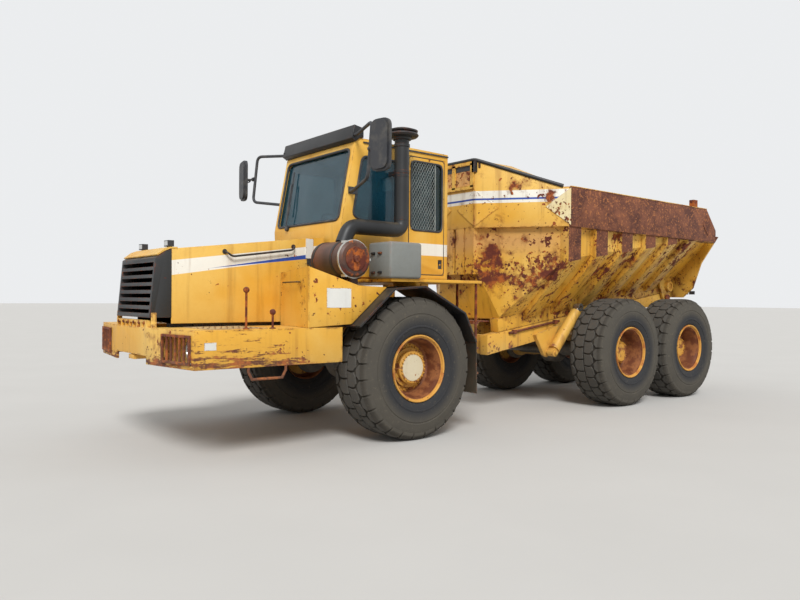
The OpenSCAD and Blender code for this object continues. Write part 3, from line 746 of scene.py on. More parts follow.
def joined(meshes: Iterable[bpy.types.Mesh]) -> bmesh.types.BMesh:
    """Puts several meshes into one bmesh.

    Args:
        meshes: The meshes.

    Returns:
        The bmesh.
    """
    bm = bmesh.new()
    for mesh in meshes:
        bm.from_mesh(mesh)
    return bm


def combine(*parts: bmesh.types.BMesh) -> bmesh.types.BMesh:
    """Puts several bmeshes into the first one.

    Args:
        *parts: The bmeshes, of which the others are freed.

    Returns:
        The first one.
    """
    whole = parts[0]
    for part in parts[1:]:
        mesh = bpy.data.meshes.new("part")
        part.to_mesh(mesh)
        part.free()
        whole.from_mesh(mesh)
        bpy.data.meshes.remove(mesh)
    return whole


def both_sides(bm: bmesh.types.BMesh) -> bmesh.types.BMesh:
    """Adds the mirror image of a bmesh on the other side.

    Args:
        bm: The bmesh.

    Returns:
        The same bmesh.
    """
    found = bmesh.ops.duplicate(bm, geom=bm.verts[:] + bm.edges[:] + bm.faces[:])["geom"]
    copied = [v for v in found if isinstance(v, bmesh.types.BMVert)]
    bmesh.ops.scale(bm, vec=(1, -1, 1), verts=copied)
    bmesh.ops.reverse_faces(bm, faces=[f for f in found if isinstance(f, bmesh.types.BMFace)])
    return bm


def ease(bm: bmesh.types.BMesh, width: float, steps: int = 2, angle: float = 35.0) -> bmesh.types.BMesh:
    """Rounds the sharp edges of a bmesh.

    Args:
        bm: The bmesh.
        width: Width of the rounding.
        steps: Segments across it.
        angle: Edges sharper than this, in degrees, are rounded.

    Returns:
        The same bmesh.
    """
    sharp = [e for e in bm.edges if e.is_manifold and e.calc_face_angle(0) > math.radians(angle)]
    bmesh.ops.bevel(bm, geom=sharp, offset=width, segments=steps, affect="EDGES",
                    clamp_overlap=True, profile=0.5)
    return bm


def between(low: Path, high: Path) -> bmesh.types.BMesh:
    """Makes a straight solid between two outlines.

    Args:
        low: Corners of the outline at its start.
        high: As many corners at its end.

    Returns:
        The solid.
    """
    bm = bmesh.new()
    ends = [[bm.verts.new(corner) for corner in outline] for outline in (low, high)]
    bm.faces.new(ends[0])
    bm.faces.new(reversed(ends[1]))
    for i in range(len(low)):
        j = (i + 1) % len(low)
        bm.faces.new((ends[0][i], ends[0][j], ends[1][j], ends[1][i]))
    return bm


def prism(points: Path, axis: str, low: float, high: float) -> bmesh.types.BMesh:
    """Makes a straight solid from an outline.

    Args:
        points: The outline, in the two axes other than axis, in their X, Y, Z order.
        axis: The axis it runs along.
        low: Where it starts.
        high: Where it ends.

    Returns:
        The solid.
    """
    place = "xyz".index(axis)
    return between(*([(*point[:place], end, *point[place:]) for point in points] for end in (low, high)))


def slab(corners: Sequence[Vector], out: Vector, low: float, high: float) -> bmesh.types.BMesh:
    """Makes a flat plate from its outline in space.

    Args:
        corners: The outline.
        out: The way the plate faces.
        low: Where its back lies, along out.
        high: Where its face lies, along out.

    Returns:
        The plate.
    """
    way = out.normalized()
    return between(*([corner + way * depth for corner in corners] for depth in (low, high)))


def block(low: Sequence[float], high: Sequence[float], width: float = 0.004) -> bmesh.types.BMesh:
    """Makes a box with rounded edges between two corners."""
    return ease(prism(rectangle(low[0], high[0], low[1], high[1]), "z", low[2], high[2]), width)


def ball(centre: Vector, radius: float) -> bmesh.types.BMesh:
    """Makes a ball.

    Args:
        centre: Its middle.
        radius: Its radius.

    Returns:
        The ball.
    """
    bm = bmesh.new()
    bmesh.ops.create_uvsphere(bm, u_segments=20, v_segments=12, radius=radius)
    bmesh.ops.translate(bm, vec=centre, verts=bm.verts)
    return bm


def lathe(profile: Path, centre: Vector, axis: Vector, segments: int = 64) -> bmesh.types.BMesh:
    """Turns a profile round an axis.

    Args:
        profile: Radius and distance along the axis, from one end to the other.
        centre: Where the axis starts.
        axis: Its direction.
        segments: Facets round it.

    Returns:
        The turned solid, closed where the profile meets the axis or its own start.
    """
    turn = UP.rotation_difference(axis).to_matrix()
    bm = bmesh.new()
    rings = []
    for r, h in profile:
        count = segments if r > 1e-6 else 1
        angles = [2 * math.pi * i / segments for i in range(count)]
        rings.append([bm.verts.new(centre + turn @ Vector((r * math.cos(a), r * math.sin(a), h)))
                      for a in angles])
    pairs = list(zip(rings, rings[1:]))
    if len(rings[0]) > 1 and len(rings[-1]) > 1:
        pairs.append((rings[-1], rings[0]))
    for one, two in pairs:
        for i in range(segments):
            j = (i + 1) % segments
            corners = [one[i % len(one)], one[j % len(one)], two[j % len(two)], two[i % len(two)]]
            face = [v for n, v in enumerate(corners) if v not in corners[:n]]
            if len(face) > 2:
                bm.faces.new(face)
    return bm


def rounded_path(points: Path, bend: float, steps: int = 6) -> list[Vector]:
    """Rounds the corners of a path.

    Args:
        points: The path's corners.
        bend: Distance from a corner to where its bend starts.
        steps: Points along each bend.

    Returns:
        The rounded path.
    """
    corners = [Vector(p) for p in points]
    path = [corners[0]]
    for before, corner, after in zip(corners, corners[1:], corners[2:]):
        reach = min(bend, (before - corner).length * 0.49, (after - corner).length * 0.49)
        start = corner + (before - corner).normalized() * reach
        end = corner + (after - corner).normalized() * reach
        for i in range(steps + 1):
            t = i / steps
            path.append(start * (1 - t) ** 2 + corner * 2 * t * (1 - t) + end * t ** 2)
    return path + [corners[-1]]


def rounded_rectangle(half_width: float, half_height: float, bend: float) -> list[Spot]:
    """Rounds the corners of a rectangle about the origin.

    Args:
        half_width: Half of its width.
        half_height: Half of its height.
        bend: Distance from a corner to where its bend starts.

    Returns:
        The outline.
    """
    w, h = half_width, half_height
    corners = [(-w, 0, 0), (-w, -h, 0), (w, -h, 0), (w, h, 0), (-w, h, 0), (-w, 0, 0)]
    return [(p.x, p.y) for p in rounded_path(corners, bend)[:-1]]


def tube(points: Path, radius: float, bend: float = 0.05, sides: int = 14) -> bmesh.types.BMesh:
    """Makes a round tube along a path with rounded corners.

    Args:
        points: The path's corners.
        radius: The tube's radius.
        bend: Distance from a corner to where its bend starts.
        sides: Facets round it.

    Returns:
        The tube, with closed ends.
    """
    path = rounded_path(points, bend)
    bm = bmesh.new()
    across = None
    rings = []
    for i, here in enumerate(path):
        along = (path[min(i + 1, len(path) - 1)] - path[max(i - 1, 0)]).normalized()
        if across is None:
            across = along.orthogonal().normalized()
        across = (across - along * across.dot(along)).normalized()
        other = along.cross(across)
        turns = [2 * math.pi * k / sides for k in range(sides)]
        rings.append([bm.verts.new(here + (across * math.cos(a) + other * math.sin(a)) * radius)
                      for a in turns])
    for one, two in zip(rings, rings[1:]):
        for k in range(sides):
            bm.faces.new((one[k], one[(k + 1) % sides], two[(k + 1) % sides], two[k]))
    bm.faces.new(rings[0])
    bm.faces.new(reversed(rings[-1]))
    return bm


def gasket(corners: Sequence[Vector], radius: float, bend: float = 0.075) -> bmesh.types.BMesh:
    """Makes a rubber strip round an opening with rounded corners."""
    start = (corners[0] + corners[-1]) / 2
    return tube([start, *corners, start], radius, bend, 10)


def fillets(corners: Sequence[Vector], out: Vector, bend: float = 0.075, depth: float = 0.02) -> list:
    """Makes the plates that round the corners of a window opening.

    Args:
        corners: The opening's corners.
        out: The way the wall faces.
        bend: Distance from a corner to where its bend starts.
        depth: Thickness of the plates.

    Returns:
        A plate for each corner.
    """
    plates = []
    for i, corner in enumerate(corners):
        before, after = corners[i - 1], corners[(i + 1) % len(corners)]
        plates.append(slab([corner, *rounded_path([before, corner, after], bend)[1:-1]], out, -depth, 0.0))
    return plates


# Rules that repeat a part


class Rule(Nodes):
    """A geometry node tree with named inputs that repeats one part.

    Attributes:
        given: The tree's inputs.
    """

    def __init__(self, name: str, inputs: dict[str, str]) -> None:
        """Starts the tree with a part and a finish.

        Args:
            name: The tree's name.
            inputs: Socket type of each named input.
        """
        super().__init__(bpy.data.node_groups.new(name, "GeometryNodeTree"))
        named = {"Part": "NodeSocketObject", "Finish": "NodeSocketMaterial", **inputs}
        for key, kind in named.items():
            self.tree.interface.new_socket(key, in_out="INPUT", socket_type=kind)
        self.tree.interface.new_socket("Geometry", in_out="OUTPUT", socket_type="NodeSocketGeometry")
        self.given = self.node("NodeGroupInput").outputs

    def end(self, points: Socket, rotation: Value = (0, 0, 0), shift: Value = (0, 0, 0)) -> None:
        """Puts the part on points, realizes the copies and gives them their finish.

        Args:
            points: The points.
            rotation: Each copy's turn.
            shift: How far all copies are moved.
        """
        part = self.node("GeometryNodeObjectInfo", {"Object": self.given["Part"]}, transform_space="ORIGINAL")
        grown = self.node("GeometryNodeInstanceOnPoints", {
            "Points": points, "Instance": part.outputs["Geometry"], "Rotation": rotation}).outputs[0]
        moved = self.node("GeometryNodeTransform", {"Geometry": grown, "Translation": shift}).outputs[0]
        real = self.node("GeometryNodeRealizeInstances", {"Geometry": moved}).outputs[0]
        done = self.node("GeometryNodeSetMaterial", {"Geometry": real, "Material": self.given["Finish"]})
        self.node("NodeGroupOutput", {0: done.outputs[0]})

    def grow(self, name: str, part: bmesh.types.BMesh, finish: bpy.types.Material,
             **values) -> bpy.types.Mesh:
        """Repeats a part.

        Args:
            name: Name of the result.
            part: The part.
            finish: Its material.
            **values: The tree's other inputs, by name.

        Returns:
            The repeated part as a plain mesh.
        """
        pattern = as_object(name + "_part", as_mesh(name + "_part", part))
        holder = as_object(name, bpy.data.meshes.new(name))
        modifier = holder.modifiers.new(name, "NODES")
        modifier.node_group = self.tree
        names = {item.name: item.identifier for item in self.tree.interface.items_tree
                 if item.in_out == "INPUT"}
        for key, value in {"Part": pattern, "Finish": finish, **values}.items():
            modifier[names[key]] = value
        mesh = final_mesh(holder)
        bpy.data.objects.remove(pattern)
        return mesh


def ring_rule() -> Rule:
    """Builds the rule that repeats a part round an axis along Y.

    Returns:
        The rule.
    """
    rule = Rule("ring of parts", {"Count": "NodeSocketInt", "Turn": "NodeSocketFloat",
                                  "Centre": "NodeSocketVector"})
    points = rule.node("GeometryNodeMeshLine", {"Count": rule.given["Count"], "Offset": (0, 0, 0)})
    share = rule.maths("DIVIDE", rule.node("GeometryNodeInputIndex").outputs[0], rule.given["Count"])
    angle = rule.maths("MULTIPLY_ADD", share, 2 * math.pi, rule.given["Turn"])
    turn = rule.node("ShaderNodeCombineXYZ", {"Y": angle}).outputs[0]
    rule.end(points.outputs[0], turn, rule.given["Centre"])
    return rule


def row_rule() -> Rule:
    """Builds the rule that repeats a part along a straight line.

    Returns:
        The rule.
    """
    rule = Rule("row of parts", {"Count": "NodeSocketInt", "Start": "NodeSocketVector",
                                 "Step": "NodeSocketVector"})
    points = rule.node("GeometryNodeMeshLine", {
        "Count": rule.given["Count"], "Start Location": rule.given["Start"], "Offset": rule.given["Step"]})
    rule.end(points.outputs[0])
    return rule


# Workshop: finishes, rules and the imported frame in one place


@dataclass
class Workshop:
    """What every sub-assembly draws on.

    Attributes:
        finishes: Materials by the finish's key.
        ring: The rule for rings of parts.
        row: The rule for rows of parts.
        bodies: Each node's body.
        slots: Each node's material slot.
    """

    frame: dict
    finishes: dict[str, bpy.types.Material]
    ring: Rule
    row: Rule
    bodies: dict[str, str] = field(default_factory=dict)
    slots: dict[str, str] = field(default_factory=dict)

    def __post_init__(self) -> None:
        """Notes each node's body and material slot."""
        record = self.frame["record"]
        for body, nodes in record["behaviour"]["bodies"].items():
            self.bodies.update({node: body for node in nodes})
        self.slots.update({part["node"]: part["material_slot"] for part in record["subparts"]})

    def piece(self, name: str, finish: str, body: str, *shapes: bmesh.types.BMesh, mirrored: bool = False,
              replaces: Sequence[str] = ()) -> bpy.types.Object:
        """Makes one visible piece that rides on a body.

        Args:
            name: Name of the piece.
            finish: Key of its material.
            body: Body that it rides on.
            *shapes: Its shapes, which are freed.
            mirrored: Whether the right side has them too.
            replaces: Nodes that it stands for.

        Returns:
            The piece.
        """
        whole = combine(*shapes)
        mesh = as_mesh(name, both_sides(whole) if mirrored else whole)
        mesh.materials.append(self.finishes[finish])
        obj = as_object(name, mesh)
        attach(obj, body)
        if replaces:
            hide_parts(*replaces)
        LOG.info("%s: %d faces on %s", name, len(mesh.polygons), body)
        return obj

    def eased_copy(self, node: str, finish: str, width: float,
                   cuts: Sequence[tuple[Vector, Vector]] = ()) -> None:
        """Shows a node with rounded edges.

        Args:
            node: The node.
            finish: Key of its material.
            width: Width of the rounding.
            cuts: Planes that trim it, each by a point and the way that goes.
        """
        bm = bmesh.new()
        bm.from_mesh(self.frame["nodes"][node].data)
        bmesh.ops.remove_doubles(bm, verts=bm.verts, dist=2e-5)
        bmesh.ops.dissolve_limit(bm, angle_limit=math.radians(0.6), verts=bm.verts, edges=bm.edges)
        for point, way in cuts:
            everything = bm.verts[:] + bm.edges[:] + bm.faces[:]
            bmesh.ops.bisect_plane(bm, geom=everything, plane_co=point, plane_no=way, clear_outer=True)
            bmesh.ops.holes_fill(bm, edges=[e for e in bm.edges if e.is_boundary], sides=0)
        self.piece(node + "_panels", finish, self.bodies[node], ease(bm, width), replaces=[node])

    def dress(self, node: str, finish: str) -> None:
        """Gives a shown node its material.

        Args:
            node: The node.
            finish: Key of the material.
        """
        materials = self.frame["nodes"][node].data.materials
        materials.clear()
        materials.append(self.finishes[finish])


# Sub-assemblies


@dataclass(frozen=True)
class Hub:
    """Middle of a wheel.

    Attributes:
        disc: How far out of the wheel's middle its disc lies.
        face: How far out the hub ends.
        radius: The hub's radius.
    """

    disc: float
    face: float
    radius: float


@dataclass
class Wheels:
    """The six wheels: tyres with block treads on dished rims.

    Attributes:
        track: Distance of a tyre's middle from the truck's middle.
        lugs: Blocks round one row.
        crown_parts: The crown's parts from its middle outwards: where each starts and ends, and how
            far it has dropped there.
        lug_rings: Size and depth of a block's rings.
        flange: How far out of the wheel's middle the rim's flange ends.
        front_hub: Middle of a front wheel.
        other_hub: Middle of a middle or rear wheel.
    """

    shop: Workshop
    track: float = 1.15
    lugs: int = 28
    crown_parts: tuple[tuple[float, ...], ...] = ((0.0, 0.19, 0.0, 0.002), (0.19, 0.25, 0.002, 0.018),
                                                  (0.25, 0.285, 0.018, 0.07))
    lug_rings: tuple[Spot, ...] = ((1.0, 0.030), (0.97, 0.006), (0.91, 0.0))
    flange: float = 0.278
    front_hub: Hub = Hub(0.045, 0.156, 0.185)
    other_hub: Hub = Hub(-0.02, 0.10, 0.155)

    def crown(self, w: float) -> float:
        """Finds the tread's radius.

        Args:
            w: Distance from the tyre's middle.

        Returns:
            The radius.
        """
        for near, far, top, drop in self.crown_parts:
            if abs(w) <= far:
                return WHEEL_RADIUS - top - (abs(w) - near) / (far - near) * (drop - top)
        return WHEEL_RADIUS - drop

    def on_tread(self, s: float, w: float, sink: float, side: int) -> Vector:
        """Returns a place on the tread of a wheel that is centred on the origin.

        Args:
            s: Distance round the tread, from its top.
            w: Distance across it, from its middle.
            sink: Depth below the crown.
            side: Sign of the side across it.

        Returns:
            The place.
        """
        r, a = self.crown(w) - sink, s / WHEEL_RADIUS
        return Vector((r * math.sin(a), w * side, r * math.cos(a)))

    def lug(self, outline: Path, side: int) -> bmesh.types.BMesh:
        """Makes one tread block at the top of a wheel that is centred on the origin.

        Args:
            outline: Distances round and across the tread.
            side: Sign of the row's place across it.

        Returns:
            The block.
        """
        bm = bmesh.new()
        count = len(outline)
        middle = [sum(values) / count for values in zip(*outline)]
        rings = []
        for shrink, sink in self.lug_rings:
            spots = [[m + (p - m) * shrink for m, p in zip(middle, point)] for point in outline]
            rings.append([bm.verts.new(self.on_tread(*spot, sink, side)) for spot in spots])
        tip = bm.verts.new(self.on_tread(*middle, 0.0, side))
        for one, two in zip(rings, rings[1:]):
            for i in range(count):
                j = (i + 1) % count
                bm.faces.new((one[i], one[j], two[j], two[i]))
        for i in range(count):
            bm.faces.new((rings[-1][i], rings[-1][(i + 1) % count], tip))
        bm.faces.new(rings[0])
        return bm

    def tyre(self, name: str, centre: Vector) -> None:
        """Makes one tyre: its carcass and four rows of blocks.

        Args:
            name: The wheel's name.
            centre: The wheel's middle.
        """
        half = [(0.331, 0.235), (0.372, 0.252), (0.378, 0.262), (0.41, 0.279), (0.44, 0.288), (0.452, 0.290),
                (0.458, 0.298), (0.47, 0.298), (0.478, 0.293), (0.53, 0.298), (0.585, 0.2985), (0.592, 0.292),
                (0.60, 0.292), (0.608, 0.297), (0.66, 0.289), (0.70, 0.279), (0.728, 0.265), (0.748, 0.240),
                (0.762, 0.20), (0.768, 0.10), (0.768, 0.0)]
        profile = [(r, -w) for r, w in half] + [(r, w) for r, w in reversed(half[:-1])]
        shapes = [as_mesh(name, lathe(profile, centre, OUT, 96))]
        shoulder = [(-0.083, 0.205), (-0.081, 0.245), (-0.078, 0.278), (0.078, 0.278), (0.081, 0.245),
                    (0.083, 0.205), (0.040, 0.163), (-0.040, 0.163)]
        inner = [(-0.086, 0.006), (0.076, 0.006), (0.086, 0.070), (0.080, 0.118), (0.040, 0.154),
                 (-0.040, 0.154), (-0.084, 0.118), (-0.076, 0.070)]
        for row, (outline, shift) in enumerate(((shoulder, 0.0), (inner, 0.5))):
            for sign in (1, -1):
                turn = (shift + (0.5 if sign < 0 else 0.0)) * 2 * math.pi / self.lugs
                shapes.append(self.shop.ring.grow(
                    f"{name}_row_{row}", self.lug(outline, sign), self.shop.finishes["tyre_rubber"],
                    Count=self.lugs, Turn=turn, Centre=centre))
        node = f"tyre_{name}"
        self.shop.piece(f"{node}_treaded", "tyre_rubber", self.shop.bodies[node], joined(shapes),
                        replaces=[node])

    def rim(self, name: str, centre: Vector, side: int, hub: Hub) -> None:
        """Makes one rim with its disc, studs, valve and hub.

        Args:
            name: The wheel's name.
            centre: The wheel's middle.
            side: Sign of the truck's side.
            hub: The wheel's hub.
        """
        disc, face, r, end = hub.disc, hub.face, hub.radius, self.flange
        profile = [(0.0, face), (r - 0.02, face), (r, face - 0.015), (r, disc + 0.05),
                   (r + 0.035, disc + 0.045), (r + 0.035, disc + 0.012), (0.275, disc), (0.296, disc + 0.02),
                   (0.304, disc + 0.06), (0.312, 0.19), (0.326, 0.225), (0.333, 0.243), (0.345, 0.247),
                   (0.352, end - 0.006), (0.360, end), (0.369, end - 0.003), (0.3718, end - 0.016),
                   (0.3715, 0.256), (0.330, 0.246), (0.3295, -0.255), (0.312, -0.24), (0.305, -0.10),
                   (r, -0.12), (0.0955, -0.148), (0.0955, -0.05), (0.0, -0.05)]
        outward = OUT * side
        shapes = [as_mesh(name, lathe(profile, centre, outward, 96))]
        spots = ((r - 0.022, 0.0085, face, 24), (r + 0.062, 0.016, disc + 0.004, 20))
        for row, (radius, size, height, count) in enumerate(spots):
            stud = lathe([(size, -0.01), (size, 0.012), (size * 0.5, 0.02), (0.0, 0.02)],
                         Vector((0, side * height, radius)), outward, 6)
            shapes.append(self.shop.ring.grow(f"{name}_studs_{row}", stud, self.shop.finishes["rim_paint"],
                                              Count=count, Turn=0.13, Centre=centre))
        valve = tube([centre + Vector((x, side * y, z)) for x, y, z in (
            (0.312, 0.18, 0), (0.30, 0.23, 0.01), (0.28, 0.26, 0.02))], 0.006, 0.02, 8)
        node = f"rim_{name}"
        body = self.shop.bodies[node]
        self.shop.piece(f"{node}_dished", "rim_paint", body, joined(shapes), valve, replaces=[node])
        if hub is self.front_hub:
            cap = lathe([(0.0, face + 0.006), (0.145, face + 0.006), (0.15, face - 0.002),
                         (0.148, face - 0.01), (0.0, face - 0.01)], centre, outward, 48)
            self.shop.piece(f"hub_cap_{name}", "hub_paint", body, cap)

    def build(self) -> None:
        """Makes all six wheels."""
        for axle, station in AXLES.items():
            for side in Side:
                name = f"{axle}_{side.name.lower()}"
                centre = at(station, side.value * self.track, WHEEL_RADIUS)
                self.tyre(name, centre)
                self.rim(name, centre, side.value, self.front_hub if axle == "front" else self.other_hub)


@dataclass
class PackedPanels:
    """Nodes whose shape is right: shown with rounded edges, or as they are.

    Attributes:
        eased: Finish and width of the rounding of each node that gets rounded edges.
        plain: Finish of each node that is shown as it is.
        slant: Plane that trims the dump body's rim, by a point and the way that goes.
    """

    shop: Workshop
    eased: dict[str, tuple[str, float]] = field(default_factory=lambda: {
        "front_frame": ("frame_paint", 0.006), "bumper": ("bumper_paint", 0.010),
        "bonnet": ("bonnet_paint", 0.012), "grille": ("black_paint", 0.004),
        "fender_boxes": ("front_paint", 0.010), "cab_base": ("frame_paint", 0.004),
        "fender_flares": ("black_paint", 0.004), "cab_shell": ("cab_paint", 0.012),
        "visor": ("black_paint", 0.008), "cab_door": ("cab_paint", 0.010),
        "battery_box": ("grey_paint", 0.028), "lamp_guards": ("rusty_steel", 0.004),
        "rear_frame": ("frame_paint", 0.006), "bogie_beams": ("frame_paint", 0.008),
        "dump_body": ("body_paint", 0.012), "hitch_yoke": ("cast_housings", 0.006)})
    plain: dict[str, str] = field(default_factory=lambda: {
        "front_axle": "cast_housings", "rear_axles": "cast_housings", "engine": "cast_housings",
        "steps": "rusty_steel", "air_cleaner": "cleaner_paint", "headlamps": "lamp_glass",
        "cab_glass": "screen_glass", "door_glass": "window_glass", "steering_console": "dash_plastic",
        "hoist_barrels": "frame_paint", "hoist_stage_1": "rod_chrome", "hoist_stage_2": "rod_chrome",
        "hoist_stage_3": "rod_chrome", "hoist_rods": "rod_chrome", "steer_barrel_left": "frame_paint",
        "steer_barrel_right": "frame_paint", "steer_rod_left": "rod_chrome", "steer_rod_right": "rod_chrome"})
    slant: tuple[Vector, Vector] = (at(-6.29, 0, 3.07), Vector((-0.735, 0, 0.678)))

    def build(self) -> None:
        """Shows the nodes."""
        for node, (finish, width) in self.eased.items():
            self.shop.eased_copy(node, finish, width, [self.slant] if node == "dump_body" else [])
        for node, finish in self.plain.items():
            self.shop.dress(node, finish)


@dataclass
class FrontTrim:
    """Rods, plates, rings, labels and bolts on the bumper and the side boxes.

    Attributes:
        rods: Station and top of each marker rod.
        rod_y: Distance of the rods from the truck's middle.
        deck_z: Height of the bumper's deck.
        bar_rows: Rows of raised bars on a deck plate.
        bars: Bars in a row.
        lamp: Middle of the left headlamp.
        wall_inner: Station and distance from the middle of the box wall's inner edge.
        wall_outer: The same of its outer edge.
        wall_foot: Height of the wall's foot.
        labels: Two corners of each blank label on the left side, by station and height.
    """

    shop: Workshop
    rods: tuple[Spot, ...] = ((2.0, 1.63), (1.72, 1.42))
    rod_y: float = 1.24
    deck_z: float = 1.26
    bar_rows: int = 8
    bars: int = 9
    lamp: tuple[float, float, float] = (2.475, 1.15, 1.0825)
    wall_inner: Spot = (1.21, 0.505)
    wall_outer: Spot = (1.355, 1.3)
    wall_foot: float = 1.262
    labels: tuple[tuple[Spot, Spot], ...] = (((0.84, 1.46), (1.14, 1.66)), ((2.325, 1.08), (2.44, 1.15)))

    def marker_rods(self) -> None:
        """Makes the marker rods with their ball knobs."""
        shapes = []
        for station, top in self.rods:
            foot, tip = at(station, self.rod_y, self.deck_z - 0.004), at(station, self.rod_y, top)
            collar = lathe([(0.03, -0.002), (0.03, 0.012), (0.012, 0.02), (0.0, 0.02)], foot, UP, 24)
            shapes += [tube([foot, tip], 0.011), ball(tip, 0.03), collar]
        self.shop.piece("marker_rods", "rusty_steel", FRONT, *shapes, mirrored=True)

    def deck(self) -> None:
        """Makes the pale tread plates on the bumper's deck with their raised bars."""
        plate = block(at(1.74, 0.60, self.deck_z - 0.001), at(2.34, 1.18, self.deck_z + 0.006), 0.002)
        bar = block((-0.02, -0.005, 0.0), (0.02, 0.005, 0.0035), 0.001)
        bmesh.ops.rotate(bar, matrix=Matrix.Rotation(math.radians(45), 3, "Z"), verts=bar.verts)
        row = self.shop.row.grow("tread_bars", bar, self.shop.finishes["deck_paint"], Count=self.bars,
                                 Start=at(1.79, 0.65, self.deck_z + 0.005), Step=(0.062, 0, 0))
        grid = []
        for i in range(self.bar_rows):
            copy = row.copy()
            copy.transform(Matrix.Translation((0.031 * (i % 2), 0.065 * i, 0)))
            grid.append(copy)
        self.shop.piece("deck_plates", "deck_paint", FRONT, plate, joined(grid), mirrored=True)

    def lamp_rings(self) -> None:
        """Makes the bright rings round the lamps."""
        ring = lathe([(0.072, 0.026), (0.096, 0.018), (0.102, 0.026), (0.098, 0.036), (0.078, 0.040)],
                     at(*self.lamp), AHEAD, 48)
        self.shop.piece("lamp_rings", "rod_chrome", FRONT, ring, mirrored=True)

    def panels(self) -> None:
        """Makes the panels behind the lamps and the front walls of the side boxes."""
        behind = block(at(2.365, 0.57, 0.93), at(2.377, 1.285, 1.254), 0.002)
        inner, outer, foot = self.wall_inner, self.wall_outer, self.wall_foot
        wall = slab([at(*inner, foot), at(*outer, foot), at(*outer, 1.873), at(*inner, 1.831)],
                    Vector((0.984, -0.18, 0)), -0.012, 0.002)
        self.shop.piece("front_panels", "front_paint", FRONT, behind, wall, mirrored=True)

    def rear_steps(self) -> None:
        """Makes the rusty step plates behind the front wheels and their brackets."""
        plate = block(at(-1.20, 1.02, 1.282), at(-0.93, 1.32, 1.296))
        self.shop.piece("rear_step_plate", "rusty_steel", FRONT, plate, mirrored=True)
        side = [(-1.18, 1.284), (-0.98, 1.284), (-0.98, 1.10), (-1.03, 1.10)]
        bracket = ease(prism([(FRONT_AXLE + s, z) for s, z in side], "y", 1.14, 1.19), 0.004)
        self.shop.piece("rear_step_bracket", "frame_paint", FRONT, bracket, mirrored=True)

    def blank_labels(self) -> None:
        """Makes the blank labels on the left side box and the bumper's left side."""
        face = self.wall_outer[1]
        shapes = [block(at(low[0], face - 0.002, low[1]), at(high[0], face + 0.0025, high[1]), 0.001)
                  for low, high in self.labels]
        self.shop.piece("blank_labels", "label_white", FRONT, *shapes)

    def box_handles(self) -> None:
        """Makes the wire handles on the side boxes' front walls."""
        station, middle = self.wall_inner
        ends = [at(station + (y - middle) * 0.1824, y, 1.72) for y in (0.66, 1.08)]
        reach = AHEAD * 0.045
        handle = tube([ends[0], ends[0] + reach, ends[1] + reach, ends[1]], 0.007, 0.03, 8)
        self.shop.piece("box_handles", "black_paint", FRONT, handle, mirrored=True)

    def plate_bolts(self) -> None:
        """Makes the row of bolt heads on the bumper's raised plate."""
        size = 0.012
        head = lathe([(size * 1.5, -0.004), (size * 1.5, 0.003), (size, 0.0031), (size, size * 0.6),
                      (size * 0.8, size * 0.75), (0.0, size * 0.75)], Vector(), AHEAD, 12)
        row = self.shop.row.grow("plate_bolts", head, self.shop.finishes["rusty_steel"], Count=6,
                                 Start=at(2.65, -0.38, 1.305), Step=(0, 0.152, 0))
        self.shop.piece("plate_bolts", "rusty_steel", FRONT, joined([row]))

    def build(self) -> None:
        """Makes the front trim."""
        self.marker_rods()
        self.deck()
        self.lamp_rings()
        self.panels()
        shaft = tube([at(-0.30, 0, 0.79), at(-1.02, 0, 0.83)], SHAFT_RADIUS, sides=24)
        self.shop.piece("front_shaft", "cast_housings", FRONT, shaft)
        self.rear_steps()
        self.blank_labels()
        self.box_handles()
        self.plate_bolts()


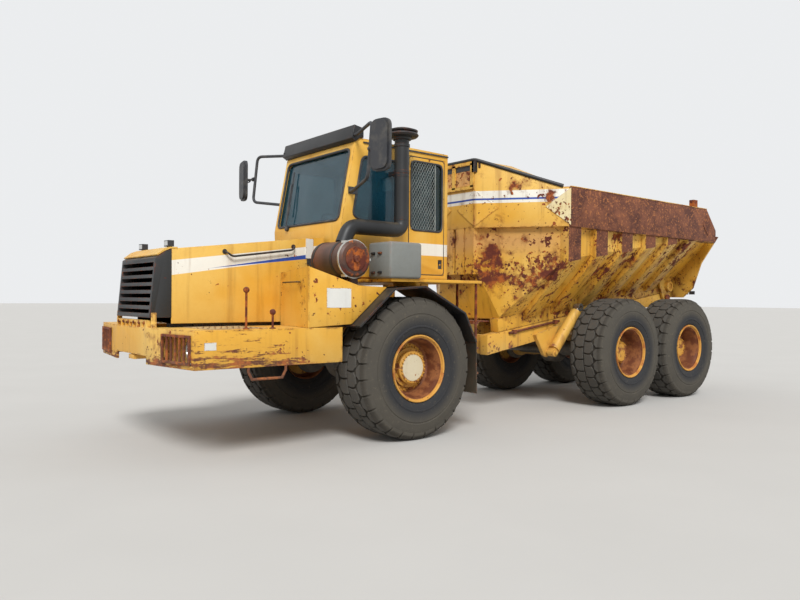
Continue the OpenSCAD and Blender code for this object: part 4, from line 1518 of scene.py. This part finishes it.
@dataclass
class BonnetTrim:
    """Grab rails, work lamps, lip, latches and tags of the bonnet.

    Attributes:
        side_y: Distance of the bonnet's sides from the truck's middle.
        rail_feet: Station and height of the grab rail's feet.
        rail_reach: How far the rail stands out.
        lamp_y: Distance of a work lamp from the middle.
    """

    shop: Workshop
    side_y: float = 0.48
    rail_feet: tuple[Spot, Spot] = ((1.86, 2.032), (1.045, 2.122))
    rail_reach: float = 0.045
    lamp_y: float = 0.36

    def grab_rails(self) -> None:
        """Makes the rails along the bonnet's upper edges."""
        foot, out = self.side_y - 0.004, self.side_y + self.rail_reach
        (front, low), (back, high) = self.rail_feet
        rail = tube([at(front, foot, low), at(1.852, out, 2.022), at(1.79, out, 1.982), at(1.08, out, 2.082),
                     at(1.052, out, 2.118), at(back, foot, high)], 0.011, 0.03, 10)
        feet = [lathe([(0.026, -0.004), (0.026, 0.006), (0.0, 0.010)], at(s, self.side_y, z), OUT, 20)
                for s, z in self.rail_feet]
        self.shop.piece("grab_rails", "black_paint", BONNET, rail, *feet, mirrored=True)

    def work_lamps(self) -> None:
        """Makes the two square lamps over the grille."""
        cases, lenses = [], []
        for y in (self.lamp_y, -self.lamp_y):
            cases += [block(at(2.37, y - 0.055, 2.062), at(2.43, y + 0.055, 2.122), 0.010),
                      block(at(2.38, y - 0.03, 2.03), at(2.41, y + 0.03, 2.066))]
            lenses.append(block(at(2.428, y - 0.045, 2.070), at(2.434, y + 0.045, 2.114), 0.003))
        self.shop.piece("work_lamps", "black_plastic", BONNET, *cases)
        self.shop.piece("work_lamp_lenses", "lamp_glass", BONNET, *lenses)

    def build(self) -> None:
        """Makes the bonnet's trim."""
        y = self.side_y
        self.grab_rails()
        side = [(2.36, 2.036), (2.43, 2.034), (2.485, 2.012), (2.560, 1.962), (2.567, 1.972), (2.49, 2.030),
                (2.434, 2.052), (2.36, 2.054)]
        lip = ease(prism([(FRONT_AXLE + s, z) for s, z in side], "y", -y - 0.003, y + 0.003), 0.004)
        self.shop.piece("grille_lip", "bonnet_paint", BONNET, lip)
        self.work_lamps()
        latch = [block(at(0.80, y - 0.004, 1.93), at(0.87, y + 0.016, 2.0)),
                 block(at(0.82, y + 0.012, 1.91), at(0.85, y + 0.024, 1.96), 0.003)]
        self.shop.piece("bonnet_latches", "black_plastic", BONNET, *latch, mirrored=True)
        tag = block(at(0.79, y - 0.004, 2.0), at(0.885, y + 0.010, 2.222))
        self.shop.piece("bonnet_tags", "label_white", BONNET, tag, mirrored=True)


@dataclass
class CabTrim:
    """Window seals, door guard, wiper, vents, seat, controls and mirrors of the cab.

    Attributes:
        side_y: Distance of the cab's sides from the truck's middle.
        sill: Height of the door window's lower edge.
        head: Height of its upper edge.
        mesh_pitch: Height between two wires of the door guard.
        mesh_slope: Rise of its wires along the door.
        mirror: Middle of the left mirror.
        mirror_turn: How far the mirrors turn inwards, in degrees.
    """

    shop: Workshop
    side_y: float = 0.75
    sill: float = 2.39
    head: float = 3.225
    mesh_pitch: float = 0.066
    mesh_slope: float = 1.6
    mirror: tuple[float, float, float] = (0.64, 1.52, 3.14)
    mirror_turn: float = 12.0

    def on_screen(self, y: float, z: float, out: float = 0.0) -> Vector:
        """Returns the place on the windscreen at a width and a height, some way out of it."""
        return at(0.59 - 0.18 * (z - 2.39) / 0.94 + out, y, z + out * 0.19)

    def seals(self) -> None:
        """Makes the rubber round every window and the rounded corners of their openings."""
        y = self.side_y
        outline = [(-0.33, 2.45), (0.329, 2.45), (0.435, 2.50), (0.305, 3.185), (-0.33, 3.185)]
        side = [at(s, y, z) for s, z in outline]
        rear = [at(-1.03, w, z) for w, z in rectangle(-0.6, 0.6, 2.45, self.head)]
        screen = [self.on_screen(w, z, 0.002) for w, z in rectangle(-0.68, 0.68, 2.44, 3.262)]
        right = [at(s, -y, z) for s, z in rectangle(-0.95, -0.395, self.sill, self.head)]
        seals = [both_sides(gasket(side, 0.013)), gasket(rear, 0.013), gasket(screen, 0.015),
                 gasket(right, 0.013)]
        self.shop.piece("window_seals", "black_plastic", FRONT, *seals)
        plates = [both_sides(combine(*fillets(side, OUT))), *fillets(rear, -AHEAD),
                  *fillets(screen, SCREEN_WAY, depth=0.03), *fillets(right, -OUT)]
        self.shop.piece("window_corners", "cab_paint", FRONT, *plates)
        door = [at(s, y, z) for s, z in rectangle(-0.935, -0.425, self.sill, self.head)]
        edge = [at(s, y, z) for s, z in rectangle(-0.968, -0.392, 1.852, 3.278)]
        self.shop.piece("door_window_corners", "cab_paint", DOOR, *fillets(door, OUT))
        self.shop.piece("door_seals", "black_plastic", DOOR, gasket(door, 0.013), gasket(edge, 0.005, 0.05))

    def door_guard(self) -> None:
        """Makes the diamond mesh over the front part of the door's window."""
        back, front, y = -0.815, -0.43, self.side_y + 0.006
        low, high = self.sill + 0.01, self.head - 0.01
        rise = (front - back) * self.mesh_slope
        wires = []
        for way in (1, -1):
            for i in range(int((high - low + rise + 0.7) / self.mesh_pitch)):
                foot = low - rise + i * self.mesh_pitch
                start, stop = max(foot, low), min(foot + rise, high)
                if stop <= low or start >= high:
                    continue
                begin = back if way > 0 else front
                ends = [at(begin + way * (z - foot) / self.mesh_slope, y, z) for z in (start, stop)]
                wires.append(tube(ends, 0.0028, sides=6))
        posts = [tube([at(s, y, low), at(s, y, high)], radius, sides=8)
                 for s, radius in ((back, 0.007), (front, 0.005))]
        self.shop.piece("door_guard", "guard_wire", DOOR, *posts, *wires)

    def outside(self) -> None:
        """Makes the wiper, the vents, the gutters, the handle and the mirrors' foot plates."""
        y = self.side_y
        arm = tube([self.on_screen(-0.42, 2.41, 0.03), self.on_screen(-0.44, 2.66, 0.04),
                    self.on_screen(-0.47, 2.98, 0.03)], 0.008, 0.04, 8)
        blade = tube([self.on_screen(-0.45, 2.58, 0.012), self.on_screen(-0.49, 3.14, 0.012)], 0.009, sides=8)
        clip = tube([self.on_screen(-0.47, 2.98, 0.03), self.on_screen(-0.475, 2.95, 0.010)], 0.008, sides=8)
        pivot = lathe([(0.03, -0.01), (0.03, 0.03), (0.015, 0.04), (0.0, 0.04)], self.on_screen(-0.42, 2.41),
                      Vector((1, 0, 0.19)), 24)
        vent = block(at(0.485, y - 0.003, 2.256), at(0.575, y + 0.008, 2.372), 0.02)
        slats = [block(at(0.497, y + 0.006, z), at(0.563, y + 0.012, z + 0.006), 0.002)
                 for z in (2.285, 2.305, 2.325, 2.345)]
        feet = [block(at(0.38, y - 0.002, 2.735), at(0.50, y + 0.014, 2.815), 0.008),
                block(at(0.40, y - 0.002, 3.37), at(0.46, y + 0.012, 3.43), 0.006)]
        gutter = block(at(-1.03, y - 0.003, 3.332), at(0.295, y + 0.014, 3.348), 0.003)
        pair = both_sides(combine(vent, *slats, *feet, gutter))
        self.shop.piece("cab_fittings", "black_plastic", FRONT, pair, arm, blade, clip, pivot)
        handle = [block(at(-0.944, y - 0.0185, 1.931), at(-0.876, y - 0.0135, 2.039), 0.001),
                  block(at(-0.93, y - 0.014, 1.99), at(-0.89, y - 0.002, 2.02), 0.003)]
        self.shop.piece("door_handle", "black_plastic", DOOR, *handle)

    def seat(self) -> None:
        """Makes the padded seat on its post with bellows."""
        cushion = block(at(-0.58, -0.25, 2.152), at(-0.06, 0.25, 2.276), 0.04)
        side = [(-0.595, 2.23), (-0.465, 2.23), (-0.555, 2.94), (-0.655, 2.94)]
        back = ease(prism([(FRONT_AXLE + s, z) for s, z in side], "y", -0.24, 0.24), 0.035, 4)
        seat = self.shop.piece("padded_seat", "seat_cloth", FRONT, cushion, back, replaces=["seat"])
        post = block(at(-0.515, -0.225, 1.832), at(-0.125, 0.225, 2.158), 0.02)
        folds = [tube([at(-0.50, w, z), at(-0.14, w, z)], 0.016, sides=10) for w in (-0.222, 0.222)
                 for z in (1.90, 1.96, 2.02, 2.08)]
        self.shop.piece("seat_post", "dash_plastic", FRONT, post, *folds)

    def controls(self) -> None:
        """Makes the consoles with their levers and the screen on the dash."""
        levers = []
        for station, y, top in ((-0.18, -0.36, 2.46), (-0.26, -0.36, 2.42), (-0.10, 0.34, 2.36)):
            knob = at(station + 0.02, y, top)
            levers += [tube([at(station, y, 2.19), knob], 0.008), ball(knob, 0.024)]
        console = block(at(-0.5, -0.44, 1.832), at(-0.02, -0.30, 2.20), 0.02)
        left = block(at(-0.2, 0.29, 1.832), at(0.0, 0.39, 2.20), 0.02)
        screen = block(at(0.36, -0.12, 2.395), at(0.40, 0.12, 2.50), 0.012)
        stand = tube([at(0.40, 0.0, 2.38), at(0.385, 0.0, 2.42)], 0.012)
        self.shop.piece("cab_controls", "dash_plastic", FRONT, console, left, screen, stand, *levers)

    def mirror_plate(self, half_width: float, half_height: float, bend: float, low: float,
                     high: float) -> bmesh.types.BMesh:
        """Makes a rounded plate between two depths about the mirror's middle, before its turn."""
        return prism(rounded_rectangle(half_width, half_height, bend), "x", low, high)

    def turned(self, plate: bmesh.types.BMesh) -> bmesh.types.BMesh:
        """Turns a mirror's plate and puts it in its place.

        Args:
            plate: The plate.

        Returns:
            The same plate.
        """
        turn = Matrix.Rotation(math.radians(self.mirror_turn), 3, "Z")
        bmesh.ops.rotate(plate, matrix=turn, verts=plate.verts)
        bmesh.ops.translate(plate, vec=at(*self.mirror), verts=plate.verts)
        return plate

    def mirrors(self) -> None:
        """Makes the mirrors on their looped arms, their glass and their clamps."""
        middle = self.mirror[2]
        arm = tube([at(0.43, 0.772, 3.402), at(0.43, 0.82, 3.402), at(0.56, 1.27, 3.442),
                    at(0.62, 1.28, 2.83), at(0.48, 0.81, 2.762), at(0.48, 0.752, 2.762)], 0.019, 0.08, 14)
        bar = tube([at(0.60, 1.275, middle), at(0.64, 1.50, middle)], 0.014)
        heads = [self.turned(ease(self.mirror_plate(*plate), 0.008, 2, 60))
                 for plate in ((0.13, 0.27, 0.09, -0.025, 0.010), (0.11, 0.25, 0.09, 0.010, 0.032))]
        self.shop.piece("rounded_mirrors", "black_plastic", FRONT, arm, bar, *heads, mirrored=True,
                        replaces=["mirrors"])
        pane = self.turned(self.mirror_plate(0.105, 0.245, 0.08, -0.0275, -0.0245))
        self.shop.piece("mirror_glass", "mirror_silver", FRONT, pane, mirrored=True)
        profile = [(0.024, -0.03), (0.027, -0.02), (0.027, 0.02), (0.024, 0.03)]
        clamps = [lathe(profile, at(0.60, y, middle), OUT, 20) for y in (1.30, 1.46)]
        self.shop.piece("mirror_clamps", "black_plastic", FRONT, *clamps, mirrored=True)

    def build(self) -> None:
        """Makes the cab's trim."""
        self.seals()
        self.door_guard()
        self.outside()
        self.seat()
        self.controls()
        self.mirrors()


@dataclass
class IntakeTrim:
    """Intake pipe, straps and rings of the air cleaner, and the battery box's latches.

    Attributes:
        cleaner: Station and height of the air cleaner's axis.
        cleaner_radius: Radius at which its straps lie.
        pipe: Station of the upright pipe and its distance from the truck's middle.
        pipe_radius: The pipe's radius.
        cap_foot: Height at which the rain cap starts.
    """

    shop: Workshop
    cleaner: Spot = (0.785, 1.968)
    cleaner_radius: float = 0.1945
    pipe: Spot = (-0.114, 0.95)
    pipe_radius: float = 0.085
    cap_foot: float = 3.39

    def intake_pipe(self) -> None:
        """Makes the curved pipe with its rain cap, clamp and stay."""
        station, y = self.pipe
        foot = at(station, y, 0.0)
        stack = tube([at(0.7065, y, 2.148), at(0.6203, y, 2.345), at(station, y, 2.345),
                      at(station, y, 3.40)], self.pipe_radius, 0.11, 40)
        profile = [(0.0, 0.0), (0.105, 0.0), (0.11, 0.022), (0.18, 0.034), (0.195, 0.052), (0.185, 0.070),
                   (0.15, 0.074), (0.15, 0.082), (0.18, 0.088), (0.186, 0.104), (0.11, 0.130), (0.0, 0.130)]
        rain_cap = lathe(profile, foot + UP * self.cap_foot, UP, 64)
        clamp = lathe([(0.084, 0.0), (0.094, 0.0), (0.094, 0.03), (0.084, 0.03)], foot + UP * 3.31, UP, 48)
        stay = block(at(-0.15, 0.751, 3.0), at(-0.08, 0.88, 3.04))
        self.shop.piece("intake_pipe", "black_paint", FRONT, stack, rain_cap, clamp, stay,
                        replaces=["intake_stack"])

    def cleaner_trim(self) -> None:
        """Makes the air cleaner's straps, clamp ring with clips and end cap."""
        r = self.cleaner_radius
        axis = at(self.cleaner[0], 0.0, self.cleaner[1])
        straps = [lathe([(r, -0.02), (0.2, -0.02), (0.2, 0.02), (r, 0.02)], axis + OUT * y, OUT, 64)
                  for y in (0.78, 1.12)]
        self.shop.piece("cleaner_straps", "black_paint", FRONT, *straps)
        ring = lathe([(r, -0.012), (0.204, -0.008), (0.204, 0.008), (r, 0.012)], axis + OUT * 1.262, OUT, 64)
        clips = []
        for turn in (60, 180, 300):
            a = math.radians(turn)
            middle = axis + OUT * 1.245 + Vector((math.cos(a), 0, math.sin(a))) * 0.203
            clips.append(block(middle - Vector((0.012, 0.045, 0.012)), middle + Vector((0.012, 0.03, 0.012))))
        self.shop.piece("cleaner_ring", "rod_chrome", FRONT, ring, *clips)
        cap = lathe([(0.0, 0.0), (0.12, 0.0), (0.128, 0.006), (0.12, 0.012), (0.04, 0.014), (0.035, 0.03),
                     (0.0, 0.032)], axis + OUT * 1.299, OUT, 48)
        self.shop.piece("cleaner_cap", "rusty_steel", FRONT, cap)

    def pipe_bands(self) -> None:
        """Makes the bands round the pipe."""
        band = [(0.0848, -0.016), (0.089, -0.016), (0.089, 0.016), (0.0848, 0.016)]
        bands = [lathe(band, at(*self.pipe, z), UP, 48) for z in (2.48, 2.98, 3.02)]
        self.shop.piece("pipe_bands", "black_paint", FRONT, *bands)

    def build(self) -> None:
        """Makes the intake's trim."""
        self.intake_pipe()
        self.cleaner_trim()
        self.pipe_bands()
        latches = []
        for z in (1.84, 2.05):
            for y in (1.10, 1.22):
                latches += [block(at(0.398, y - 0.03, z - 0.012), at(0.412, y + 0.03, z + 0.012), 0.003),
                            tube([at(0.405, y - 0.022, z), at(0.424, y - 0.022, z), at(0.424, y + 0.022, z),
                                  at(0.405, y + 0.022, z)], 0.005, 0.01, 8)]
        self.shop.piece("battery_latches", "black_paint", FRONT, *latches)


@dataclass
class FrameTrim:
    """Prop, pivot caps and drive shafts along the rear frame.

    Attributes:
        rail_y: Distance of the rails' outer faces from the truck's middle.
        prop_ends: Station and height of the body prop's ends.
        clamps: Station and height of its clamps.
        pivot: Station and height of the body's pivot.
        shafts: Station and height of each drive shaft's ends.
    """

    shop: Workshop
    rail_y: float = 0.60
    prop_ends: tuple[Spot, Spot] = ((-2.35, 1.085), (-3.45, 1.238))
    clamps: tuple[Spot, Spot] = ((-2.45, 1.099), (-3.35, 1.224))
    pivot: Spot = (-6.38, 1.60)
    shafts: tuple[tuple[Spot, Spot], ...] = (((-3.805, 0.79), (-2.16, 0.87)),
                                             ((-5.471, 0.79), (-4.255, 0.79)))

    def build(self) -> None:
        """Makes the frame's trim."""
        y = self.rail_y
        prop = tube([at(s, y + 0.018, z) for s, z in self.prop_ends], 0.017, sides=12)
        clamps = [block(at(s - 0.03, y - 0.002, z - 0.03), at(s + 0.03, y + 0.042, z + 0.03), 0.005)
                  for s, z in self.clamps]
        self.shop.piece("body_prop", "rusty_steel", REAR, prop, *clamps)
        cap = lathe([(0.062, -0.01), (0.062, 0.012), (0.05, 0.022), (0.0, 0.022)],
                    at(self.pivot[0], 0.675, self.pivot[1]), OUT, 40)
        self.shop.piece("pivot_caps", "rusty_steel", REAR, cap, mirrored=True)
        shafts = [tube([at(s, 0, z) for s, z in ends], SHAFT_RADIUS, sides=24) for ends in self.shafts]
        self.shop.piece("rear_shafts", "cast_housings", REAR, *shafts)


@dataclass
class BodyTrim:
    """Plates, columns, rails and lamps on the dump body.

    Attributes:
        nose: Station of the body's nose and half its width.
        corner: Station and half width where the diagonal panels end.
        tail: Station and half width of the tail's diamond plate.
        band_middle: Height of the rim band's middle.
        rim_top: Height of the rim.
        nose_face: Station of the front face of what lies on the nose.
        guard_y: Half the width of the spill guard's front.
        lamps: Distances of the tail lamps from the truck's middle.
    """

    shop: Workshop
    nose: Spot = (-1.87, 0.395)
    corner: Spot = (-2.66, 1.42)
    tail: Spot = (-6.33, 1.42)
    band_middle: float = 2.805
    rim_top: float = 3.066
    nose_face: float = -1.872
    guard_y: float = 0.36
    lamps: Spot = (0.80, 0.92)

    def diamond_half(self, along: Spot, out: Spot, foot: Spot, reach: float = 0.33,
                     height: float = 0.25) -> bmesh.types.BMesh:
        """Makes the half of a diamond plate on one side of a corner.

        Args:
            along: The way the half points, level.
            out: The way it faces, level.
            foot: Station and distance from the middle of the corner.
            reach: Length of the half.
            height: Half of its height.

        Returns:
            The plate.
        """
        tip = at(foot[0] + along[0] * reach, foot[1] + along[1] * reach, self.band_middle)
        ends = [at(*foot, self.band_middle + height), tip, at(*foot, self.band_middle - height)]
        return ease(slab(ends, Vector((*out, 0)), -0.002, 0.010), 0.003, 1)

    def plates(self) -> None:
        """Makes the diamond plates, nose columns, tail end frame, rim lips and posts."""
        run = (Vector(self.nose) - Vector(self.corner)).normalized()
        along, out = (run.x, run.y), (-run.y, run.x)
        half = self.diamond_half
        pale = half(along, out, self.corner)
        self.shop.piece("corner_diamond_fronts", "cream_paint", DUMP, pale, mirrored=True)
        halves = [half((-1, 0), (0, 1), self.corner), half((-along[0], -along[1]), out, self.nose),
                  half((0, -1), (1, 0), self.nose), half((-1, 0), (0, 1), self.tail, 0.17, 0.17),
                  half((1, 0), (0, 1), self.tail, 0.17, 0.17)]
        columns = [block(at(-1.958, y, 1.90), at(self.nose_face, y + 0.165, 2.56), 0.006)
                   for y in (0.025, 0.215)]
        outline = [(1.392, 2.64), (1.101, 2.201), (0.953, 1.768), (0.769, 1.607), (0, 1.607), (0, 1.925),
                   (0.579, 1.944), (1.30, 2.66)]
        frame = ease(prism(outline, "x", FRONT_AXLE - 6.756, FRONT_AXLE - 6.716), 0.004)
        lip = block(at(-6.29, 1.398, self.rim_top), at(self.corner[0], 1.424, self.rim_top + 0.014), 0.006)
        post = block(at(-6.01, 1.33, 3.065), at(-5.89, 1.41, 3.195), 0.006)
        self.shop.piece("rim_posts", "rusty_steel", DUMP, post, mirrored=True)
        self.shop.piece("body_plates", "body_paint", DUMP, *halves, *columns, frame, lip, mirrored=True)

    def spill_guard(self) -> None:
        """Makes the guard's frame, recessed panel and rails, and a dark plate as painted shade in its gap."""
        y, back, front, edge = self.guard_y, self.nose_face, -1.845, self.nose[1]
        bars = [block(at(back, -edge, z), at(front, edge, z + 0.05), 0.006) for z in (3.075, 3.405)]
        bars += [block(at(back, w - 0.03, 3.1), at(front, w + 0.03, 3.43), 0.006) for w in (y, -y, 0.0)]
        self.shop.piece("guard_frame", "body_paint", DUMP, *bars)
        panel = block(at(back, -y, 3.1), at(-1.866, y, 3.34), 0.001)
        self.shop.piece("guard_panel", "spotted_paint", DUMP, panel)
        # A dark plate fills the gap above the panel as painted shade.
        gap = block(at(back, -y, 3.335), at(-1.864, y, 3.41), 0.001)
        self.shop.piece("guard_gap", "black_plastic", DUMP, gap)
        rail = tube([at(-2.598, 1.34, 3.078), at(-1.874, edge, 3.475), at(-1.874, -edge, 3.475),
                     at(-2.598, -1.34, 3.078)], 0.026, 0.05, 14)
        holders = [block(at(-1.93, 0.36, 3.30), at(front, 0.425, 3.455), 0.008),
                   block(at(-2.08, 0.40, 3.36), at(-1.90, 0.46, 3.43), 0.008)]
        self.shop.piece("guard_rails", "black_paint", DUMP, rail, both_sides(combine(*holders)))

    def build(self) -> None:
        """Makes the dump body's trim."""
        self.plates()
        self.spill_guard()
        boss = lathe([(0.095, -0.004), (0.095, 0.05), (0.08, 0.06), (0.05, 0.06), (0.045, 0.045),
                      (0.0, 0.045)], at(-6.42, 0.654, 1.80), OUT, 48)
        self.shop.piece("pivot_bosses", "body_paint", DUMP, boss, mirrored=True)
        cases = [block(at(-6.78, y - 0.045, 1.66), at(-6.748, y + 0.045, 1.72), 0.006) for y in self.lamps]
        lenses = [block(at(-6.786, y - 0.038, 1.667), at(-6.778, y + 0.038, 1.713), 0.003)
                  for y in self.lamps]
        self.shop.piece("tail_lamp_boxes", "black_plastic", DUMP, *cases, mirrored=True)
        self.shop.piece("tail_lamps", "red_lens", DUMP, *lenses, mirrored=True)


# Stage


@dataclass
class Studio:
    """Floor, lights and the camera at the photograph's place.

    Attributes:
        place: The camera's place.
        yaw: Its heading from the X axis, in radians.
        pitch: Its tilt, in radians.
        roll: Its turn about its own axis, in radians.
        focal: Its focal length in pixels of the frame's width.
        frame_width: The frame's width in pixels.
        lamps: Way, angle and strength of each sun lamp by name.
        glow: Strength of the surroundings as light, and as what is seen.
    """

    place: tuple[float, float, float] = (7.1432, 7.2806, 1.5636)
    yaw: float = -2.25795457
    pitch: float = -0.00283
    roll: float = 0.00682
    focal: float = 707.43
    frame_width: float = 800.0
    lamps: dict[str, tuple] = field(default_factory=lambda: {
        "key": ((-0.50, -0.72, -0.80), 20, 2.9), "fill": ((-0.9, 0.5, -0.7), 70, 0.45),
        "rear": ((0.9, -0.3, -0.6), 70, 0.3)})
    glow: Spot = (0.50, 0.86)

    def camera(self) -> None:
        """Makes the camera."""
        level = math.cos(self.pitch)
        forward = Vector((level * math.cos(self.yaw), level * math.sin(self.yaw), math.sin(self.pitch)))
        right = forward.cross(UP).normalized()
        up = right.cross(forward)
        c, s = math.cos(self.roll), math.sin(self.roll)
        right, up = right * c + up * s, up * c - right * s
        data = bpy.data.cameras.new("camera")
        data.sensor_width = 36
        data.lens = self.focal / self.frame_width * data.sensor_width
        data.clip_end = 500
        camera = as_object("camera", data)
        turn = Matrix((right, up, -forward)).transposed().to_4x4()
        camera.matrix_world = Matrix.Translation(self.place) @ turn
        bpy.context.scene.camera = camera

    def floor(self) -> None:
        """Makes the pale floor."""
        s = Shade("pale floor")
        tint = s.mix(s.noise(0.8, 3), tone("c0beba"), tone("c6c4c0"))
        bm = bmesh.new()
        bmesh.ops.create_grid(bm, x_segments=1, y_segments=1, size=150)
        floor = as_object("floor", as_mesh("floor", bm))
        paint = s.surface({"Base Color": tint, "Roughness": 0.9, "Specular IOR Level": 0.2})
        floor.data.materials.append(paint)
        floor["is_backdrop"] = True

    def lights(self) -> None:
        """Makes the soft key and fill lights."""
        for name, (way, spread, power) in self.lamps.items():
            data = bpy.data.lights.new(name, "SUN")
            data.angle, data.energy = math.radians(spread), power
            lamp = as_object(name, data)
            lamp.location = Vector(way) * -12
            lamp.rotation_euler = Vector(way).to_track_quat("-Z", "Y").to_euler()

    def surroundings(self) -> None:
        """Makes the pale surroundings, which show brighter than the light they give."""
        world = bpy.data.worlds.new("pale studio")
        bpy.context.scene.world = world
        world.use_nodes = True
        sky = Nodes(world.node_tree)
        rays = sky.node("ShaderNodeLightPath").outputs
        shown = sky.most(*(rays[f"Is {kind} Ray"] for kind in ("Camera", "Glossy", "Transmission")))
        dim, bright = self.glow
        strength = sky.node("ShaderNodeMapRange", {"Value": shown, "To Min": dim, "To Max": bright})
        back = sky.node("ShaderNodeBackground", {"Color": (0.97, 0.985, 1.0, 1),
                                                 "Strength": strength.outputs[0]})
        sky.node("ShaderNodeOutputWorld", {"Surface": back.outputs[0]})

    def build(self) -> None:
        """Makes the stage."""
        self.camera()
        self.floor()
        self.lights()
        self.surroundings()
        bpy.context.scene.view_settings.view_transform = "Standard"


def make_finishes() -> dict[str, bpy.types.Material]:
    """Builds every finish.

    Returns:
        The materials by key.
    """
    yellow, bleached = tone("dda737"), tone("e3b95c")
    white, blue = tone("e4e0d4"), tone("2c4a9a")
    corner = -0.61
    bonnet_marks = (
        Mask(((0, 1, 0, -0.477), (-0.1351, 0, -1, 2.5242), (0.1492, 0, 1, -2.4415)), white),
        Mask(((0, 1, 0, -0.477), (-0.1627, 0, -1, 2.5169), (0.1213, 0, 1, -2.3481)), blue))
    cab_marks = (Mask(((0, 1, 0, -0.74), (0, 0, -1, 2.235), (0, 0, 1, -2.088), (-1, 0, 0, 1.95)), white),)
    body_marks = (
        Mask(((0, 0, -1, 3.04), (0, 0, 1, -2.872), (1, 0, 0, -corner + 0.2)), white),
        Mask(((0, 0, -1, 2.938), (0, 0, 1, -2.912), (1, 0, 0, -corner + 0.2)), blue),
        Mask(((-1, 0, 0, corner + 0.02), (0, 0, 1, -2.535), (0, 0, -1, 3.075)), soft=0.03, coat=1.0),
        Mask(((-1, 0, 0, corner + 0.02), (0, 0, -1, 2.56), (0, 0, 1, -1.9), (0, 1, 0, -1.38)), soft=0.02,
             coat=1.0, facing=True),
        Mask(((1, 0, 0, -corner), (0, 0, -1, 2.52), (0, 0, 1, -2.2)), tone("cf9d5c"), soft=0.34),
        Mask(((1, 0, 0, -corner), (0, 0, -1, 2.12), (0, 0, 1, -1.66)), rust=0.075, soft=0.3),
        Mask(((-1, 0, 0, corner), (0, 0, -1, 2.54)), rust=0.05, soft=0.2))
    bumper_marks = (Mask(((0, 1, 0, -0.85), (1, 0, 0, -3.55), (0, 0, -1, 1.24)), soft=0.9),
                    Mask(((0, 0, -1, 1.0), (1, 0, 0, -3.4)), soft=0.12))
    made = {
        "front_paint": WeatheredPaint("front panel paint", yellow, bleached),
        "bumper_paint": WeatheredPaint("bumper paint", yellow, bleached, 0.68, wear=0.035,
                                       scratches=bumper_marks),
        "frame_paint": WeatheredPaint("frame paint", yellow, bleached, 0.68, stain=0.5, dust=0.5),
        "bonnet_paint": WeatheredPaint("bonnet paint", yellow, bleached, 0.78, 0.70, masks=bonnet_marks),
        "cab_paint": WeatheredPaint("cab paint", yellow, bleached, 0.80, 0.72, stain=0.15, masks=cab_marks),
        "body_paint": WeatheredPaint("dump body paint", yellow, bleached, 0.62, 0.64, stain=0.45, wear=0.03,
                                     masks=body_marks),
        "deck_paint": WeatheredPaint("deck plate paint", tone("b09a74"), tone("c2ae88"), 0.66, 0.62),
        "label_white": WeatheredPaint("label white", tone("d9d9d4"), tone("e6e4dd"), 0.80, 0.76, stain=0.1),
        "spotted_paint": WeatheredPaint("spotted paint", tone("c9904c"), tone("d8a868"), 0.58, 0.54),
        "rusty_steel": WeatheredPaint("rusty steel", RUST_RED, tone("7c4a34"), 0.52, 0.5, rough=0.75),
        "cleaner_paint": WeatheredPaint("air cleaner paint", tone("3c3330"), tone("6a4434"), 0.55),
        "black_paint": WeatheredPaint("black paint", tone("1d1e20"), tone("2c2d2e"), 0.80, 0.74, stain=0.05,
                                      dust=0.25, rough=0.4),
        "grey_paint": WeatheredPaint("grey paint", tone("7c7f7c"), tone("8a8c88"), 0.80, 0.74, stain=0.1),
        "hub_paint": WeatheredPaint("hub paint", tone("d9cfb4"), tone("c9bb98"), 0.66, 0.62),
        "cream_paint": WeatheredPaint("cream plate paint", tone("d8c48e"), tone("e2d6b0"), 0.66, 0.56),
        "rim_paint": WheelPaint(),
        "tyre_rubber": DustyRubber(),
        "rod_chrome": PlatedRod(),
        "seat_cloth": WovenCloth(),
        "guard_wire": CastMetal("guard wire", tone("8f948f"), tone("6f7470")),
        "cast_housings": CastMetal("cast housings", tone("55534f"), tone("6e675a")),
        "lamp_glass": CastMetal("lamp reflector", tone("d5d8da"), tone("b9bab6"), 0.15, 0.6),
        "red_lens": CastMetal("red lens", tone("9c1f18"), tone("7d1a15"), 0.25),
        "mirror_silver": CastMetal("mirror silver", tone("aab0b4"), tone("9aa0a4"), 0.12, 0.9),
        "window_glass": WindowGlass("window glass", tone("1d2f36"), 0.62),
        "screen_glass": WindowGlass("windscreen glass", tone("1b4454"), 0.52),
        "dash_plastic": MouldedPlastic("dash plastic", tone("26282a")),
        "black_plastic": MouldedPlastic("mirror plastic", tone("2b2c30"))}
    return {key: finish.build() for key, finish in made.items()}


def corners() -> list[list[float]]:
    """Returns the shown object's lowest and highest corner as plain lists."""
    return [[round(value, 5) for value in corner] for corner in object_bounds()]


def main() -> None:
    """Builds the truck's looks and the stage."""
    logging.basicConfig(level=logging.INFO, format="%(message)s")
    for obj in list(bpy.data.objects):
        bpy.data.objects.remove(obj)
    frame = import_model()
    Studio().build()
    shop = Workshop(frame, make_finishes(), ring_rule(), row_rule())
    for assembly in (PackedPanels(shop), Wheels(shop), FrontTrim(shop), BonnetTrim(shop), CabTrim(shop),
                     IntakeTrim(shop), FrameTrim(shop), BodyTrim(shop)):
        assembly.build()


if __name__ == "__main__":
    main()
